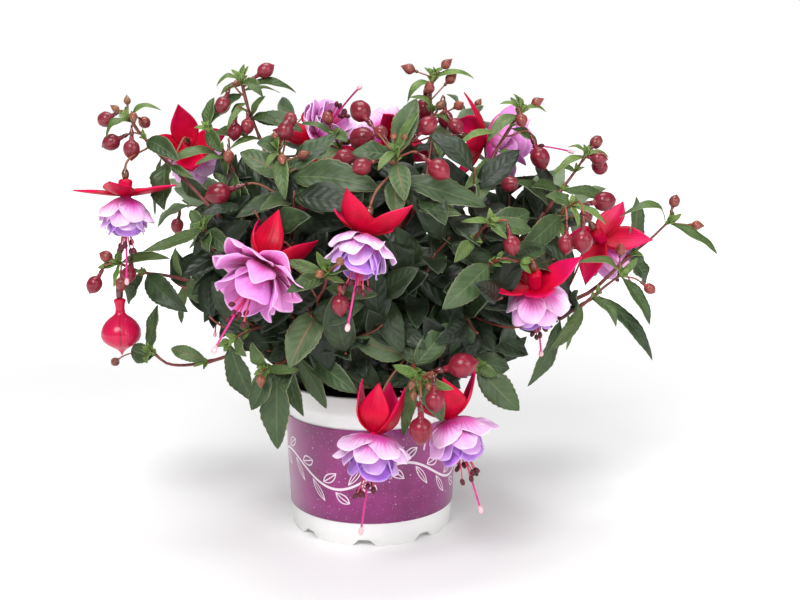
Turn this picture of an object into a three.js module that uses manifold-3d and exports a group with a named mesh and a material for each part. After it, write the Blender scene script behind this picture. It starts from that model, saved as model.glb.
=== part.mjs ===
// A double-flowered fuchsia in its nursery pot: a white plastic pot with a printed sleeve, the soil
// that fills it, a short woody crown with its branches, leafy shoots with their buds, and open blooms.
//
// Millimetres. The origin is the middle of the pot's underside, on the surface that it stands on. +Z is
// up, -Y is the plant's front and +X is its right.
import * as THREE from 'three';
import { mergeVertices } from 'three/addons/utils/BufferGeometryUtils.js';
import Module from 'manifold-3d';

const wasm = await Module();
wasm.setup();

// Fit between pieces that touch
const GAP = 0.3;

// Nursery pot: a 12 cm pot with a deep plain collar and eight feet
const POT_HEIGHT = 100;
const POT_RIM_RADIUS = 60;
const POT_FOOT_RADIUS = 53.5;
const POT_COLLAR_DEPTH = 14;
const POT_COLLAR_STEP = 1.8;
const POT_WALL = 1.4;
const POT_SIDES = 24;
const FLOOR_THICKNESS = 2.4;
const FLOOR_RAISE = 6.5;
const MIDDLE_RADIUS = 36;
const FOOT_WIDTH = 3;
const FOOT_COUNT = 8;
const FOOT_NOTCH_WIDTH = 15;
const FOOT_NOTCH_HEIGHT = 5.5;

// Printed sleeve round the pot's wall
const LABEL_BOTTOM = 16;
const LABEL_TOP = 78.5;
const LABEL_THICKNESS = 0.5;

// Soil and the woody crown that stands in it
const SOIL_LEVEL = 88;
const SOIL_CROWN_RISE = 3;
const CROWN_RADIUS = 12;
const CROWN_DEPTH = 14;
const CROWN_HEIGHT = 10;

// Branches, twigs and green stems
const BRANCH_RADIUS = [3.2, 2.0];
const TWIG_RADIUS = [1.7, 1.3];
const STEM_RADIUS = [1.3, 0.75];
const STEM_SIDES = 3;
const BRANCH_SIDES = 5;
const TWIG_SIDES = 3;
const PEDICEL_SIDES = 3;
const PEDICEL_RADIUS = 0.6;
const PEDICEL_ROOT = 2;

// Step along a stem between the roots of leaves and pedicels
const ROOT_STEP = 1.5;

// Leaves: blade thickness, and how the half width grows and shrinks from the base to the tip
const BLADE_THICKNESS = 0.8;
const LEAF_ROWS = [[0.33, 0.49], [0.68, 0.39]];
const SMALL_LEAF_ROWS = [[0.42, 0.5]];
const SMALL_LEAF_WIDTH = 9;
// Leaves turn to the front, less so towards the back
const FRONT_SHARE = 0.9;
const FRONT_END = 60;
const FRONT_FADE = 60;
const PLANT_MIDDLE = new THREE.Vector3(10, 0, 165);

// Ways a leaf may bend to pass clear of its neighbours: mm along its face, mm sideways, share of its length
const LEAF_BENDS = [
  [0, 0, 1], [4, 0, 1], [-4, 0, 1], [0, 5, 1], [0, -5, 1], [8, 0, 0.95], [-8, 0, 0.95], [6, 8, 0.9],
  [6, -8, 0.9], [-6, 8, 0.9], [-6, -8, 0.9], [13, 0, 0.85], [-13, 0, 0.85], [0, 13, 0.8], [0, -13, 0.8],
  [4, 0, 0.65], [-4, 0, 0.65], [16, 12, 0.75], [16, -12, 0.75],
];

// Buds: the body's radius splits young buds from ripening ones, which have a long tube
const YOUNG_BUD_RADIUS = 3.6;
const BUD_SIDES = 4;
const YOUNG_BUD_SIDES = 3;

// Blooms: four sepals, then an outer and an inner layer of petals round a long style
const OVARY_SHARE = 0.38;
const TUBE_RADIUS = 4.2;
const TUBE_SIDES = 4;
const CORE_SIDES = 3;
const SEPAL_COUNT = 4;
const SEPAL_LENGTH = 31;
const SEPAL_WIDTH = 17;
const SEPAL_THICKNESS = 1.1;
const PETAL_THICKNESS = 0.8;
const OUTER_PETALS = { count: 5, length: 25, width: 20, spread: 1.0, start: 0 };
const INNER_PETALS = { count: 2, length: 25, width: 17, spread: 0.34, start: 0.5 };
const STYLE_LENGTH = 54;

// Small differences between the sepals of a bloom, and between its petals, in degrees
const SEPAL_UNEVEN = [0, 6, -4, 3];
const PETAL_UNEVEN = [0, 5, -3, 6, -5];

// Where the eight branches fork: left, left front, front, right front, right, right back, left back, middle
const FORKS = [
  [-52, -16, 150], [-32, -44, 152], [8, -52, 148], [40, -38, 152],
  [54, 0, 152], [38, 42, 150], [-30, 44, 150], [0, 6, 178],
];

// Leafy shoots, each from a fork of the branches. A stem is the points it passes through. A leaf is how
// far along the stem it grows, its tip, its width, how far it arches and how far its face looks
// outwards instead of up. A bud is how far along it grows, its middle, its radius and how far it droops.
const SHOOTS = [
  { name: 'shoot_left_top', fork: 0,
    stem: [[-96, -35, 213], [-115, -30, 233], [-130, -25, 247], [-143, -20, 260], [-152, -18, 272]],
    leaves: [
      [0.97, -131, -18, 276, 5, 8, 0],
      [0.95, -165, -25, 259, 6.3, 8, 0.3],
      [0.78, -116, -45, 246, 12, 3, 0.6],
      [0.55, -127, -40, 215, 18, 3, 0.9],
      [0.52, -95, -8, 245, 9, 9, 0.2],
      [0.6, -139, -12, 209, 7.7, 2, 0.8],
      [0.5, -108, -40, 235, 5.6, 2, 0.5],
      [0.4, -101, -12, 219, 12, 2, 0.9],
    ],
    buds: [
      [0.88, -169, -8, 270, 5.0, 0.4],
      [0.84, -163, -20, 256, 5.2, 0.15],
      [0.84, -148, -30, 252, 5.4, 0.9],
      [0.93, -145, -4, 268, 3.9, 0.3],
      [0.97, -147, -26, 272, 2.8, 0.5],
    ] },
  { name: 'shoot_left_tall', fork: 7,
    stem: [[-56, -10, 219], [-64, -10, 241], [-72, -8, 262], [-78, -5, 277], [-83, 0, 296]],
    leaves: [
      [0.98, -98, -5, 291, 4.5, 6, 0],
      [0.96, -67, -15, 284, 8, 6, 0.5],
      [0.93, -48, 5, 287, 7.8, 6, 0.3],
      [0.9, -60, 20, 287, 6, 3, 0.3],
      [0.8, -88, -12, 270, 5.1, 3, 0.4],
      [0.95, -92, -8, 284, 5.7, 3, 0.5],
      [0.68, -59, -14, 267, 8, 3, 0.7],
      [0.88, -104, -15, 264, 11, 6, 0.4],
      [0.7, -89, -25, 256, 5.6, 9, 0.1],
      [0.66, -43, -10, 265, 14, 4, 0.6],
      [0.68, -66, -12, 285, 7.6, 2, 0.7],
      [0.5, -86, -25, 259, 5.6, 4, 0.2],
    ],
    buds: [
      [0.92, -67, 0, 301, 5.0, 0.1],
      [0.86, -93, -14, 279, 5.1, 0.6],
      [0.74, -85, -20, 263, 5.0, 0.8],
      [0.7, -77, -18, 266, 4.4, 0.7],
    ] },
  { name: 'shoot_left_inner', fork: 1,
    stem: [[-81, -30, 227], [-89, -22, 245], [-97, -18, 257], [-103, -15, 264]],
    leaves: [
      [1, -99, -10, 284, 9, 2, 0.8],
      [1, -92, -28, 250, 9, 2, 0.8],
      [0.9, -76, -12, 265, 9, 3, 0.5],
      [0.5, -107, -40, 243, 6.2, 3, 0.4],
      [0.32, -79, -46, 206, 10, 3, 0.9],
      [0.62, -91, -40, 231, 10, 2, 0.9],
      [0.2, -68, -42, 202, 12, 3, 0.9],
    ],
    buds: [
      [0.38, -86, -40, 248, 3.6, 0.9],
    ] },
  { name: 'shoot_upper_left', fork: 1,
    stem: [[-45, -70, 203], [-45, -75, 221], [-46, -78, 238], [-51, -80, 254]],
    leaves: [
      [0.97, -46, -97, 226, 9, 5, 0.8],
      [1, -63, -85, 258, 10, 2, 0.8],
      [1, -58, -94, 244, 4.5, 2, 0.6],
      [0.72, -18, -58, 259, 14, 4, 0.6],
      [0.68, 9, -98, 232, 20, 5, 0.7],
      [0.55, -24, -102, 219, 10, 2, 0.8],
      [0.66, -75, -70, 252, 14, 4, 0.7],
      [0.5, -75, -92, 216, 11, 3, 0.8],
      [0.4, -62, -100, 214, 11, 3, 0.9],
    ],
    buds: [
      [0.98, -47, -80, 265, 5.0, 0],
      [0.88, -53, -76, 261, 2.6, 0],
      [0.97, -48, -90, 249, 2.9, 0.3],
      [0.86, -37, -78, 251, 2.9, 0],
      [0.74, -13, -74, 249, 5.5, 0.1],
      [0.9, -45, -68, 271, 4.1, 0],
      [0.5, -39, -72, 222, 6.5, 1],
      [0.42, -86, -84, 229, 6.4, 0.3],
    ] },
  { name: 'shoot_top_middle', fork: 7,
    stem: [[-11, -20, 223], [-15, -22, 242], [-21, -24, 259]],
    leaves: [
      [1, -12, -34, 254, 9, 3, 0.8],
      [1, -44, -20, 267, 5, 6, 0],
      [0.8, -31, -45, 243, 10, 3, 0.6],
    ],
    buds: [
      [1, -26, -22, 271, 3.8, 0],
      [0.75, -4, -36, 259, 7.4, 0.2],
    ] },
  { name: 'shoot_middle', fork: 2,
    stem: [[18, -75, 192], [19, -85, 217], [18, -92, 237], [17, -95, 254]],
    leaves: [
      [0.97, 29, -85, 282, 14, 3, 0.8],
      [1, 30, -98, 276, 5, 2, 0.8],
      [0.93, -8, -102, 253, 13, 4, 0.5],
      [1, 7, -110, 244, 5, 1, 0.7],
      [0.9, 22, -114, 227, 12, 3, 0.9],
      [0.78, 18, -108, 214, 12, 3, 0.9],
      [0.75, 69, -92, 222, 16, 4, 0.6],
      [0.6, 54, -100, 220, 11, 2, 0.7],
    ],
    buds: [
      [0.96, 35, -88, 268, 5.4, 0],
      [0.95, 41, -106, 244, 5.9, 0.3],
      [0.95, -4, -68, 276, 6.2, 0],
      [0.88, -2, -112, 246, 5.0, 0.2],
      [0.97, 8, -78, 264, 4.1, 0],
    ] },
  { name: 'shoot_top', fork: 7,
    stem: [[35, -20, 229], [39, -10, 251], [40, -5, 271], [39, 0, 284], [41, 0, 298]],
    leaves: [
      [0.97, 67, 0, 296, 5.1, 6, 0],
      [0.93, 24, -5, 281, 5.8, 8, 0.2],
      [0.66, 25, -10, 284, 5.7, 6, 0],
      [0.62, 55, -15, 262, 5.1, 8, 0],
      [0.55, 45, -22, 246, 9, 3, 0.8],
    ],
    buds: [
      [0.98, 25, 0, 302, 3.5, 0],
      [1, 49, 0, 305, 3.2, 0],
      [0.78, 52, 0, 296, 3.5, 0],
      [0.75, 38, -9, 290, 3.5, 0],
      [0.62, 45, -9, 279, 2.9, 0],
      [0.6, 56, -24, 279, 3.1, 0],
      [0.62, 35, 9, 276, 6.5, 0.8],
      [0.58, 49, 9, 270, 5.2, 0.9],
      [0.5, 54, -27, 266, 5.0, 0.5],
    ] },
  { name: 'shoot_upper_right', fork: 3,
    stem: [[66, -40, 212], [73, -38, 237], [79, -35, 252], [86, -32, 263], [94, -30, 276]],
    leaves: [
      [0.95, 72, -45, 257, 7.9, 7, 0.3],
      [0.72, 50, -55, 252, 5.4, 9, 0],
      [0.82, 107, -30, 256, 7.5, 4, 0.3],
      [1, 88, -25, 284, 4.4, 1, 0.6],
      [1, 97, -30, 284, 4.3, 1, 0.6],
      [0.58, 90, -52, 251, 5.4, 1, 0.6],
      [0.52, 57, -68, 230, 9, 3, 0.8],
      [0.46, 66, -68, 222, 12, 3, 0.9],
    ],
    buds: [
      [1, 104, -30, 281, 3.1, 0],
      [0.93, 94, -38, 270, 3.7, 0.6],
      [0.74, 106, -36, 247, 6.1, 0.6],
      [0.25, 85, -62, 233, 5.1, 0],
    ] },
  { name: 'shoot_right_upper', fork: 4,
    stem: [[111, -25, 212], [120, -25, 225], [128, -22, 235], [137, -20, 248]],
    leaves: [
      [0.95, 115, -32, 236, 5.6, 7, 0.1],
      [0.72, 119, -30, 241, 5, 2, 0.5],
      [0.35, 100, -45, 230, 9, 3, 0.5],
      [0.38, 155, -15, 220, 9, 4, 0.4],
      [0.1, 89, -46, 234, 9, 3, 0.6],
    ],
    buds: [
      [1, 144, -15, 256, 4.1, 0],
      [0.95, 145, -20, 246, 4.6, 0.1],
      [0.88, 148, -8, 240, 5.2, 0.3],
    ] },
  { name: 'shoot_right_middle', fork: 4,
    stem: [[101, -35, 196], [114, -40, 208], [125, -42, 218]],
    leaves: [
      [1, 108, -50, 225, 9, 3, 0.6],
      [1, 146, -46, 207, 5.5, 4, 0.3],
      [1, 128, -54, 206, 4.3, 2, 0.8],
      [0.6, 119, -54, 199, 6.1, 2, 0.8],
      [0.75, 89, -80, 194, 14, 3, 0.8],
    ],
    buds: [
      [1, 147, -34, 220, 6.4, 0],
      [0.72, 117, -80, 199, 5.1, 1],
      [0.76, 126, -84, 201, 5.8, 1],
    ] },
  { name: 'shoot_right_far', fork: 4,
    stem: [[150, -5, 162], [172, 0, 182], [184, 0, 192], [195, 0, 203]],
    leaves: [
      [0.5, 177, 14, 219, 17, 2, 0.9],
      [0.46, 181, 10, 161, 16, 2, 0.9],
      [0.97, 161, -12, 208, 7.1, 15, 0],
      [1, 229, 0, 182, 7.9, 6, 0.3],
    ],
    buds: [
      [1, 199, 0, 217, 3.6, 0],
      [1, 215, 2, 201, 3.3, 0],
    ] },
  { name: 'shoot_right_low', fork: 4,
    stem: [[121, -25, 143], [141, -25, 156], [151, -22, 164], [161, -20, 171]],
    leaves: [
      [1, 130, -38, 182, 6.9, 9, 0.1],
      [1, 172, -22, 183, 5.1, 2, 0.5],
      [1, 181, -22, 139, 10, 6, 0.6],
      [0.5, 157, -34, 140, 8, 8, 0.6],
      [0.6, 186, -12, 113, 11, 7, 0.6],
      [0.38, 111, -52, 128, 9, 4, 0.5],
      [0.15, 129, -12, 120, 5.3, 2, 0.7],
      [0.05, 100, -46, 104, 12, 2, 0.8],
    ],
    buds: [
      [1, 181, -18, 162, 3.6, 0.2],
      [0.98, 159, -30, 189, 3.5, 0],
    ] },
  { name: 'shoot_right_inner', fork: 3,
    stem: [[53, -60, 171], [59, -80, 194], [65, -90, 207], [71, -95, 214]],
    leaves: [
      [1, 96, -88, 208, 10, 3, 0.8],
      [0.93, 96, -72, 217, 14, 3, 0.7],
      [1, 80, -104, 205, 5.1, 1, 0.8],
      [1, 54, -98, 214, 4, 3, 0.4],
      [0.7, 50, -108, 192, 7.9, 2, 0.9],
    ],
    buds: [
      [1, 83, -100, 201, 5.0, 0.7],
    ] },
  { name: 'shoot_right_front', fork: 3,
    stem: [[54, -55, 161], [65, -82, 181], [77, -98, 193], [88, -98, 191]],
    leaves: [
      [0.72, 43, -118, 167, 17, 3, 0.9],
      [0.8, 107, -72, 196, 12, 3, 0.6],
    ],
    buds: [
    ] },
  { name: 'shoot_front_low', fork: 2,
    stem: [[22, -60, 151], [25, -86, 140], [27, -103, 131], [30, -110, 126]],
    leaves: [
      [0.85, 47, -96, 155, 15, 2, 0.9],
      [0.83, 23, -98, 149, 12, 2, 0.9],
      [0.7, -9, -92, 145, 14, 2, 0.8],
      [1, 15, -114, 134, 6.2, 1, 0.9],
      [1, 50, -114, 120, 5.7, 1, 0.7],
      [0.95, 44, -108, 99, 12, 2, 0.9],
      [0.9, 21, -92, 85, 8, 2, 0.9],
    ],
    buds: [
      [0.97, 55, -110, 133, 7.3, 0],
      [1, 39, -121, 115, 5.6, 0.9],
      [1, 31, -126, 99, 6.9, 1],
      [1, 37, -114, 128, 2.6, 0],
    ] },
  { name: 'shoot_front_left', fork: 2,
    stem: [[-21, -78, 144], [-28, -100, 167], [-23, -112, 179], [-21, -118, 188]],
    leaves: [
      [0.95, -44, -128, 177, 9, 3, 0.8],
      [1, -27, -121, 200, 4.4, 1, 0.7],
      [1, -11, -130, 184, 4.4, 1, 0.7],
      [0.97, 0, -130, 193, 6, 5, 0.3],
      [0.93, -45, -114, 194, 7.8, 2, 0.7],
      [0.45, -43, -120, 134, 19, 2, 0.95],
      [0.8, 7, -110, 174, 10, 2, 0.7],
    ],
    buds: [
      [1, -25, -126, 188, 2.5, 0.2],
      [1, -12, -152, 199, 2.4, 0],
      [0.98, -13, -124, 180, 2.5, 0.6],
      [0.92, -14, -120, 170, 5.3, 1],
    ] },
  { name: 'shoot_right_base', fork: 3,
    stem: [[45, -38, 129], [56, -58, 130], [65, -72, 124]],
    leaves: [
      [1, 92, -74, 96, 18, 3, 0.8],
      [0.85, 87, -60, 119, 15, 1, 0.7],
      [1, 78, -76, 118, 7.2, 3, 0.8],
    ],
    buds: [
    ] },
  { name: 'shoot_left_base', fork: 1,
    stem: [[-34, -68, 136], [-46, -85, 131], [-58, -98, 128]],
    leaves: [
      [1, -38, -110, 130, 5.7, 1, 0.8],
      [1, -66, -104, 145, 8, 2, 0.8],
      [0.96, -68, -98, 103, 12, 3, 0.9],
      [0.8, -54, -88, 76, 18, 3, 0.9],
      [0.5, -52, -106, 117, 12, 3, 0.6],
      [0.25, -5, -98, 113, 15, 3, 0.8],
      [0.4, -25, -80, 99, 11, 2, 0.9],
      [0.6, -39, -80, 94, 10, 2, 0.9],
      [0.9, -66, -106, 119, 9, 2, 0.9],
    ],
    buds: [
      [1, -61, -106, 123, 2.9, 0.9],
    ] },
  { name: 'shoot_left', fork: 0,
    stem: [[-99, -30, 163], [-118, -25, 169], [-135, -22, 172], [-146, -20, 173], [-161, -20, 179]],
    leaves: [
      [0.72, -114, -42, 151, 16, 7, 0.5],
      [0.74, -158, -14, 151, 12, 3, 0.7],
      [1, -127, -27, 183, 7.6, 4, 0.4],
      [1, -164, -26, 164, 4.5, 1, 0.8],
      [1, -157, -20, 192, 6.4, 2, 0.7],
      [0.3, -106, -42, 157, 11, 1, 0.8],
      [0.3, -123, -18, 139, 8, 2, 0.7],
      [0.28, -97, -12, 152, 13, 2, 0.6],
      [0.35, -122, -34, 191, 6.9, 1, 0.7],
      [0.25, -96, -44, 190, 15, 3, 0.8],
      [1, -177, -14, 175, 5.2, 1, 0.5],
    ],
    buds: [
      [1, -178, -20, 165, 5.2, 0.4],
      [0.85, -153, -30, 173, 4.8, 0.6],
      [0.93, -158, -30, 167, 4.0, 0.9],
      [1, -170, -18, 183, 3.9, 0],
      [0.75, -160, -28, 133, 12.5, 1],
    ] },
  { name: 'shoot_left_upper', fork: 0,
    stem: [[-85, -45, 183], [-94, -50, 195], [-101, -55, 206]],
    leaves: [
      [0.95, -140, -45, 190, 9, -4, 0.5],
      [1, -109, -50, 216, 7.3, 2, 0.7],
      [0.9, -80, -72, 193, 11, 3, 0.8],
      [0.8, -92, -70, 191, 9, 3, 0.8],
      [1, -93, -48, 217, 7.4, 2, 0.7],
    ],
    buds: [
    ] },
  { name: 'shoot_left_low', fork: 0,
    stem: [[-76, -60, 131], [-101, -50, 121], [-127, -40, 117], [-140, -35, 125]],
    leaves: [
      [0.38, -125, -44, 128, 9, 9, 0.5],
      [1, -141, -42, 118, 7, 2, 0.8],
      [0.93, -154, -28, 124, 13, 4, 0.7],
      [1, -135, -32, 154, 10, 3, 0.7],
    ],
    buds: [
      [1, -170, -8, 111, 3.0, 0.2],
    ] },
  { name: 'shoot_left_bottom', fork: 1,
    stem: [[-59, -66, 148], [-72, -75, 146], [-83, -76, 139]],
    leaves: [
      [1, -69, -76, 102, 16, 3, 0.8],
      [0.8, -71, -92, 134, 8, 2, 0.9],
      [0.5, -83, -60, 162, 11, 3, 0.6],
    ],
    buds: [
    ] },
  { name: 'shoot_back_left', fork: 6, pairs: 5, leafLength: 46,
    stem: [[-82, 60, 188], [-112, 78, 204], [-134, 92, 206]],
    buds: [[1, -147, 100, 190, 5, 0.6], [0.9, -128, 102, 184, 5.2, 0.8]] },
  { name: 'shoot_back_left_up', fork: 6, pairs: 4, leafLength: 42,
    stem: [[-42, 66, 216], [-52, 88, 242], [-60, 100, 262]],
    buds: [[1, -66, 104, 276, 2.6, 0], [1, -50, 104, 272, 2.6, 0], [0.8, -48, 118, 240, 5.2, 0.7]] },
  { name: 'shoot_back_right_up', fork: 7, pairs: 4, leafLength: 44,
    stem: [[30, 40, 222], [52, 66, 250], [66, 84, 266]],
    buds: [[1, 76, 92, 280, 2.8, 0], [0.9, 74, 102, 256, 5.2, 0.7]] },
  { name: 'shoot_back', fork: 6, pairs: 5, leafLength: 46,
    stem: [[4, 84, 196], [8, 118, 214], [12, 148, 214]],
    buds: [[1, 10, 166, 204, 5.4, 0.6], [0.8, 24, 140, 196, 4.8, 0.9]] },
  { name: 'shoot_back_right', fork: 5, pairs: 5, leafLength: 46,
    stem: [[86, 70, 190], [120, 90, 206], [146, 104, 204]],
    buds: [[1, 160, 112, 196, 5, 0.4], [0.8, 134, 110, 184, 5, 0.9]] },
  { name: 'shoot_back_low', fork: 5, pairs: 4, leafLength: 48,
    stem: [[34, 86, 142], [48, 112, 132], [58, 126, 114]],
    buds: [[1, 62, 136, 96, 5, 0.9]] },
];

// Open blooms: the shoot that carries each and how far along, the top of the ovary, the mouth of the
// tube, then degrees of spin, of the sepals' lift and of the petals' flare, and the size.
const BLOOMS = [
  { name: 'bloom_left', shoot: 'shoot_left_top', along: 0.72, top: [-150, -40, 241],
    mouth: [-150, -42, 223], spin: 20, lift: 13, flare: 42, size: 1 },
  { name: 'bloom_left_upper', shoot: 'shoot_left_top', along: 0.5, top: [-119, -2, 258],
    mouth: [-120, 14, 250], spin: 0, lift: 45, flare: 45, size: 1 },
  { name: 'bloom_top_left', shoot: 'shoot_left_tall', along: 0.35, top: [-42, 27, 250],
    mouth: [-33, 16, 260], spin: 0, lift: 18, flare: 52, size: 1 },
  { name: 'bloom_top_middle', shoot: 'shoot_top', along: 0.45, top: [25, 22, 255],
    mouth: [13, 38, 257], spin: 45, lift: 45, flare: 45, size: 1 },
  { name: 'bloom_top_right', shoot: 'shoot_top', along: 0.3, top: [56, 4, 260],
    mouth: [76, 6, 257], spin: 45, lift: 38, flare: 55, size: 1.1 },
  { name: 'bloom_front_upper', shoot: 'shoot_middle', along: 0.86, top: [3, -117, 225],
    mouth: [0, -123, 209], spin: 38, lift: 42, flare: 50, size: 1 },
  { name: 'bloom_front_left', shoot: 'shoot_front_left', along: 0.6, top: [-50, -103, 202],
    mouth: [-57, -113, 190], spin: 15, lift: 66, flare: 76, size: 1.1 },
  { name: 'bloom_right', shoot: 'shoot_right_front', along: 1, top: [96, -93, 191],
    mouth: [99, -83, 173], spin: 3, lift: 26, flare: 48, size: 1 },
  { name: 'bloom_right_far', shoot: 'shoot_right_middle', along: 0.6, top: [143, -5, 204],
    mouth: [154, 7, 190], spin: 40, lift: -8, flare: 40, size: 1.05 },
  { name: 'bloom_front_low', shoot: 'shoot_front_low', along: 0.6, top: [8, -104, 111],
    mouth: [5, -107, 91], spin: 30, lift: 84, flare: 56, size: 1.1 },
  { name: 'bloom_front_right', shoot: 'shoot_front_low', along: 0.9, top: [44, -93, 116],
    mouth: [50, -95, 97], spin: 8, lift: 54, flare: 52, size: 1.1 },
  { name: 'bloom_back', shoot: 'shoot_back', along: 0.7, top: [-6, 148, 192],
    mouth: [-8, 156, 172], spin: 20, lift: 60, flare: 45, size: 1 },
  { name: 'bloom_back_left', shoot: 'shoot_back_left', along: 0.6, top: [-116, 112, 168],
    mouth: [-119, 118, 149], spin: 50, lift: 40, flare: 42, size: 1 },
  { name: 'bloom_back_right', shoot: 'shoot_back_right', along: 0.6, top: [124, 120, 172],
    mouth: [128, 127, 152], spin: 35, lift: 55, flare: 46, size: 1 },
];

// Vectors

const UP = new THREE.Vector3(0, 0, 1);
const DOWN = new THREE.Vector3(0, 0, -1);
const FRONT = new THREE.Vector3(0, -1, 0.15);

function vec(list) {
  return new THREE.Vector3(...list);
}

function mix(a, b, share) {
  return a.clone().lerp(b, share);
}

function along(start, direction, distance) {
  return start.clone().addScaledVector(direction, distance);
}

function unitBetween(from, to) {
  return to.clone().sub(from).normalize();
}

// Part of a direction that is square to an axis, as a unit vector
function squareTo(direction, axis) {
  const square = along(direction, axis, -direction.dot(axis));
  return square.lengthSq() > 1e-6 ? square.normalize() : squareTo(new THREE.Vector3(1, 0.3, 0.2), axis);
}

// Solids

// A closed geometry as a solid, its faces turned outwards
function solidOf(geometry) {
  geometry.deleteAttribute('normal');
  geometry.deleteAttribute('uv');
  const merged = mergeVertices(geometry, 1e-4);
  const index = Array.from(merged.index.array);
  const triangles = [];
  for (let i = 0; i < index.length; i += 3) {
    const [a, b, c] = index.slice(i, i + 3);
    if (a !== b && b !== c && c !== a) triangles.push(a, b, c);
  }
  if (signedVolume(merged.attributes.position, triangles) < 0) triangles.reverse();
  return new wasm.Manifold(new wasm.Mesh({
    numProp: 3,
    vertProperties: new Float32Array(merged.attributes.position.array),
    triVerts: new Uint32Array(triangles),
  }));
}

function signedVolume(position, triangles) {
  const corner = (i) => new THREE.Vector3().fromBufferAttribute(position, triangles[i]);
  let volume = 0;
  for (let i = 0; i < triangles.length; i += 3) {
    volume += corner(i).dot(corner(i + 1).cross(corner(i + 2))) / 6;
  }
  return volume;
}

function joined(solids) {
  return wasm.Manifold.union(solids);
}

// Solids grown together as one body: hollows that this seals are filled, and loose scraps are dropped
function fused(solids) {
  const bodies = joined(solids).decompose();
  return bodies.reduce((largest, body) => (body.volume() > largest.volume() ? body : largest));
}

function geometryOf(solid) {
  const mesh = solid.getMesh();
  const geometry = new THREE.BufferGeometry();
  geometry.setAttribute('position', new THREE.BufferAttribute(mesh.vertProperties, 3));
  geometry.setIndex(new THREE.BufferAttribute(mesh.triVerts, 1));
  return geometry;
}

// A turned solid about the Z axis, from radius and height pairs
function turned(profile, sides) {
  const points = profile.map(([radius, height]) => new THREE.Vector2(radius, height));
  return solidOf(new THREE.LatheGeometry(points, sides).rotateX(Math.PI / 2));
}

// A turned solid bent along a path: the profile holds radius and distance along the path
function bentAlong(path, profile, sides) {
  const points = profile.map(([radius, distance]) => new THREE.Vector2(radius, distance));
  const geometry = new THREE.LatheGeometry(points, sides);
  const position = geometry.attributes.position;
  for (let i = 0; i < position.count; i += 1) {
    const at = path(position.getY(i));
    const side = squareTo(at.side, at.direction);
    const lift = at.direction.clone().cross(side);
    const place = along(along(at.point, side, position.getX(i)), lift, position.getZ(i));
    position.setXYZ(i, place.x, place.y, place.z);
  }
  return solidOf(geometry);
}

// A thin blade from rows of points, each with the way its face looks. A row of one point is a sharp end,
// and both faces are split into the same triangles.
function blade(rows, thickness) {
  const vertices = [];
  const numbered = rows.map(({ points, face }) => {
    const half = points.length > 1 ? thickness / 2 : 0;
    return points.map((point) => {
      vertices.push(along(point, face, half), along(point, face, -half));
      return vertices.length / 2 - 1;
    });
  });
  const triangles = [];
  const onBothFaces = (a, b, c) => triangles.push(2 * a, 2 * b, 2 * c, 2 * c + 1, 2 * b + 1, 2 * a + 1);
  const edge = (a, b) => triangles.push(2 * a, 2 * a + 1, 2 * b + 1, 2 * a, 2 * b + 1, 2 * b);
  for (let i = 1; i < numbered.length; i += 1) {
    const [near, far] = [numbered[i - 1], numbered[i]];
    bridgeRows(onBothFaces, near, far);
    edge(near[0], far[0]);
    edge(far[far.length - 1], near[near.length - 1]);
  }
  const [first, last] = [numbered[0], numbered[numbered.length - 1]];
  for (let j = 1; j < last.length; j += 1) edge(last[j - 1], last[j]);
  for (let j = 1; j < first.length; j += 1) edge(first[j], first[j - 1]);
  const geometry = new THREE.BufferGeometry().setFromPoints(vertices);
  geometry.setIndex(triangles);
  return solidOf(geometry);
}

// Triangles between two rows: the far row is followed first where it has more points left
function bridgeRows(onBothFaces, near, far) {
  let [i, j] = [0, 0];
  while (i < near.length - 1 || j < far.length - 1) {
    const farFirst = j / Math.max(far.length - 1, 1) <= i / Math.max(near.length - 1, 1);
    if (j < far.length - 1 && (farFirst || i === near.length - 1)) {
      onBothFaces(near[i], far[j], far[j + 1]);
      j += 1;
    } else {
      onBothFaces(near[i], far[j], near[i + 1]);
      i += 1;
    }
  }
}

// A row of points across a blade: its two edges, raised along its face, with its middle between if wanted
function crossRow(middle, across, face, halfWidth, raise, withMiddle) {
  const edges = [-1, 1].map((side) => along(along(middle, across, side * halfWidth), face, raise));
  return { points: withMiddle ? [edges[0], middle, edges[1]] : edges, face };
}

// Paths

// A smooth path through points, by distance along it
function smoothPath(points) {
  const curve = new THREE.CatmullRomCurve3(points, false, 'centripetal');
  const length = curve.getLength();
  return {
    length,
    at(distance) {
      const share = THREE.MathUtils.clamp(distance / length, 0, 1);
      const direction = curve.getTangentAt(share);
      return { point: curve.getPointAt(share), direction, side: UP };
    },
  };
}

// A cubic path that leaves one place in one direction and reaches another in another
function cubicPath(start, startDirection, end, endDirection) {
  const reach = start.distanceTo(end) / 3;
  const curve = new THREE.CubicBezierCurve3(start, along(start, startDirection, reach),
    along(end, endDirection, -reach), end);
  return (share) => ({
    point: curve.getPoint(share),
    direction: curve.getTangent(share),
    side: startDirection.clone().cross(endDirection).add(new THREE.Vector3(0.01, 0.02, 0.03)),
  });
}

// The profile of a tapering rod with flat ends
function rodProfile(radii, length, steps) {
  const profile = [[0, 0]];
  for (let i = 0; i <= steps; i += 1) {
    profile.push([THREE.MathUtils.lerp(radii[0], radii[1], i / steps), (length * i) / steps]);
  }
  return [...profile, [0, length]];
}

// The pot, its printed sleeve and the soil

function potWallRadius(height) {
  const top = POT_RIM_RADIUS - POT_COLLAR_STEP - 0.6;
  return POT_FOOT_RADIUS + (top - POT_FOOT_RADIUS) * (height / (POT_HEIGHT - POT_COLLAR_DEPTH));
}

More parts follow.
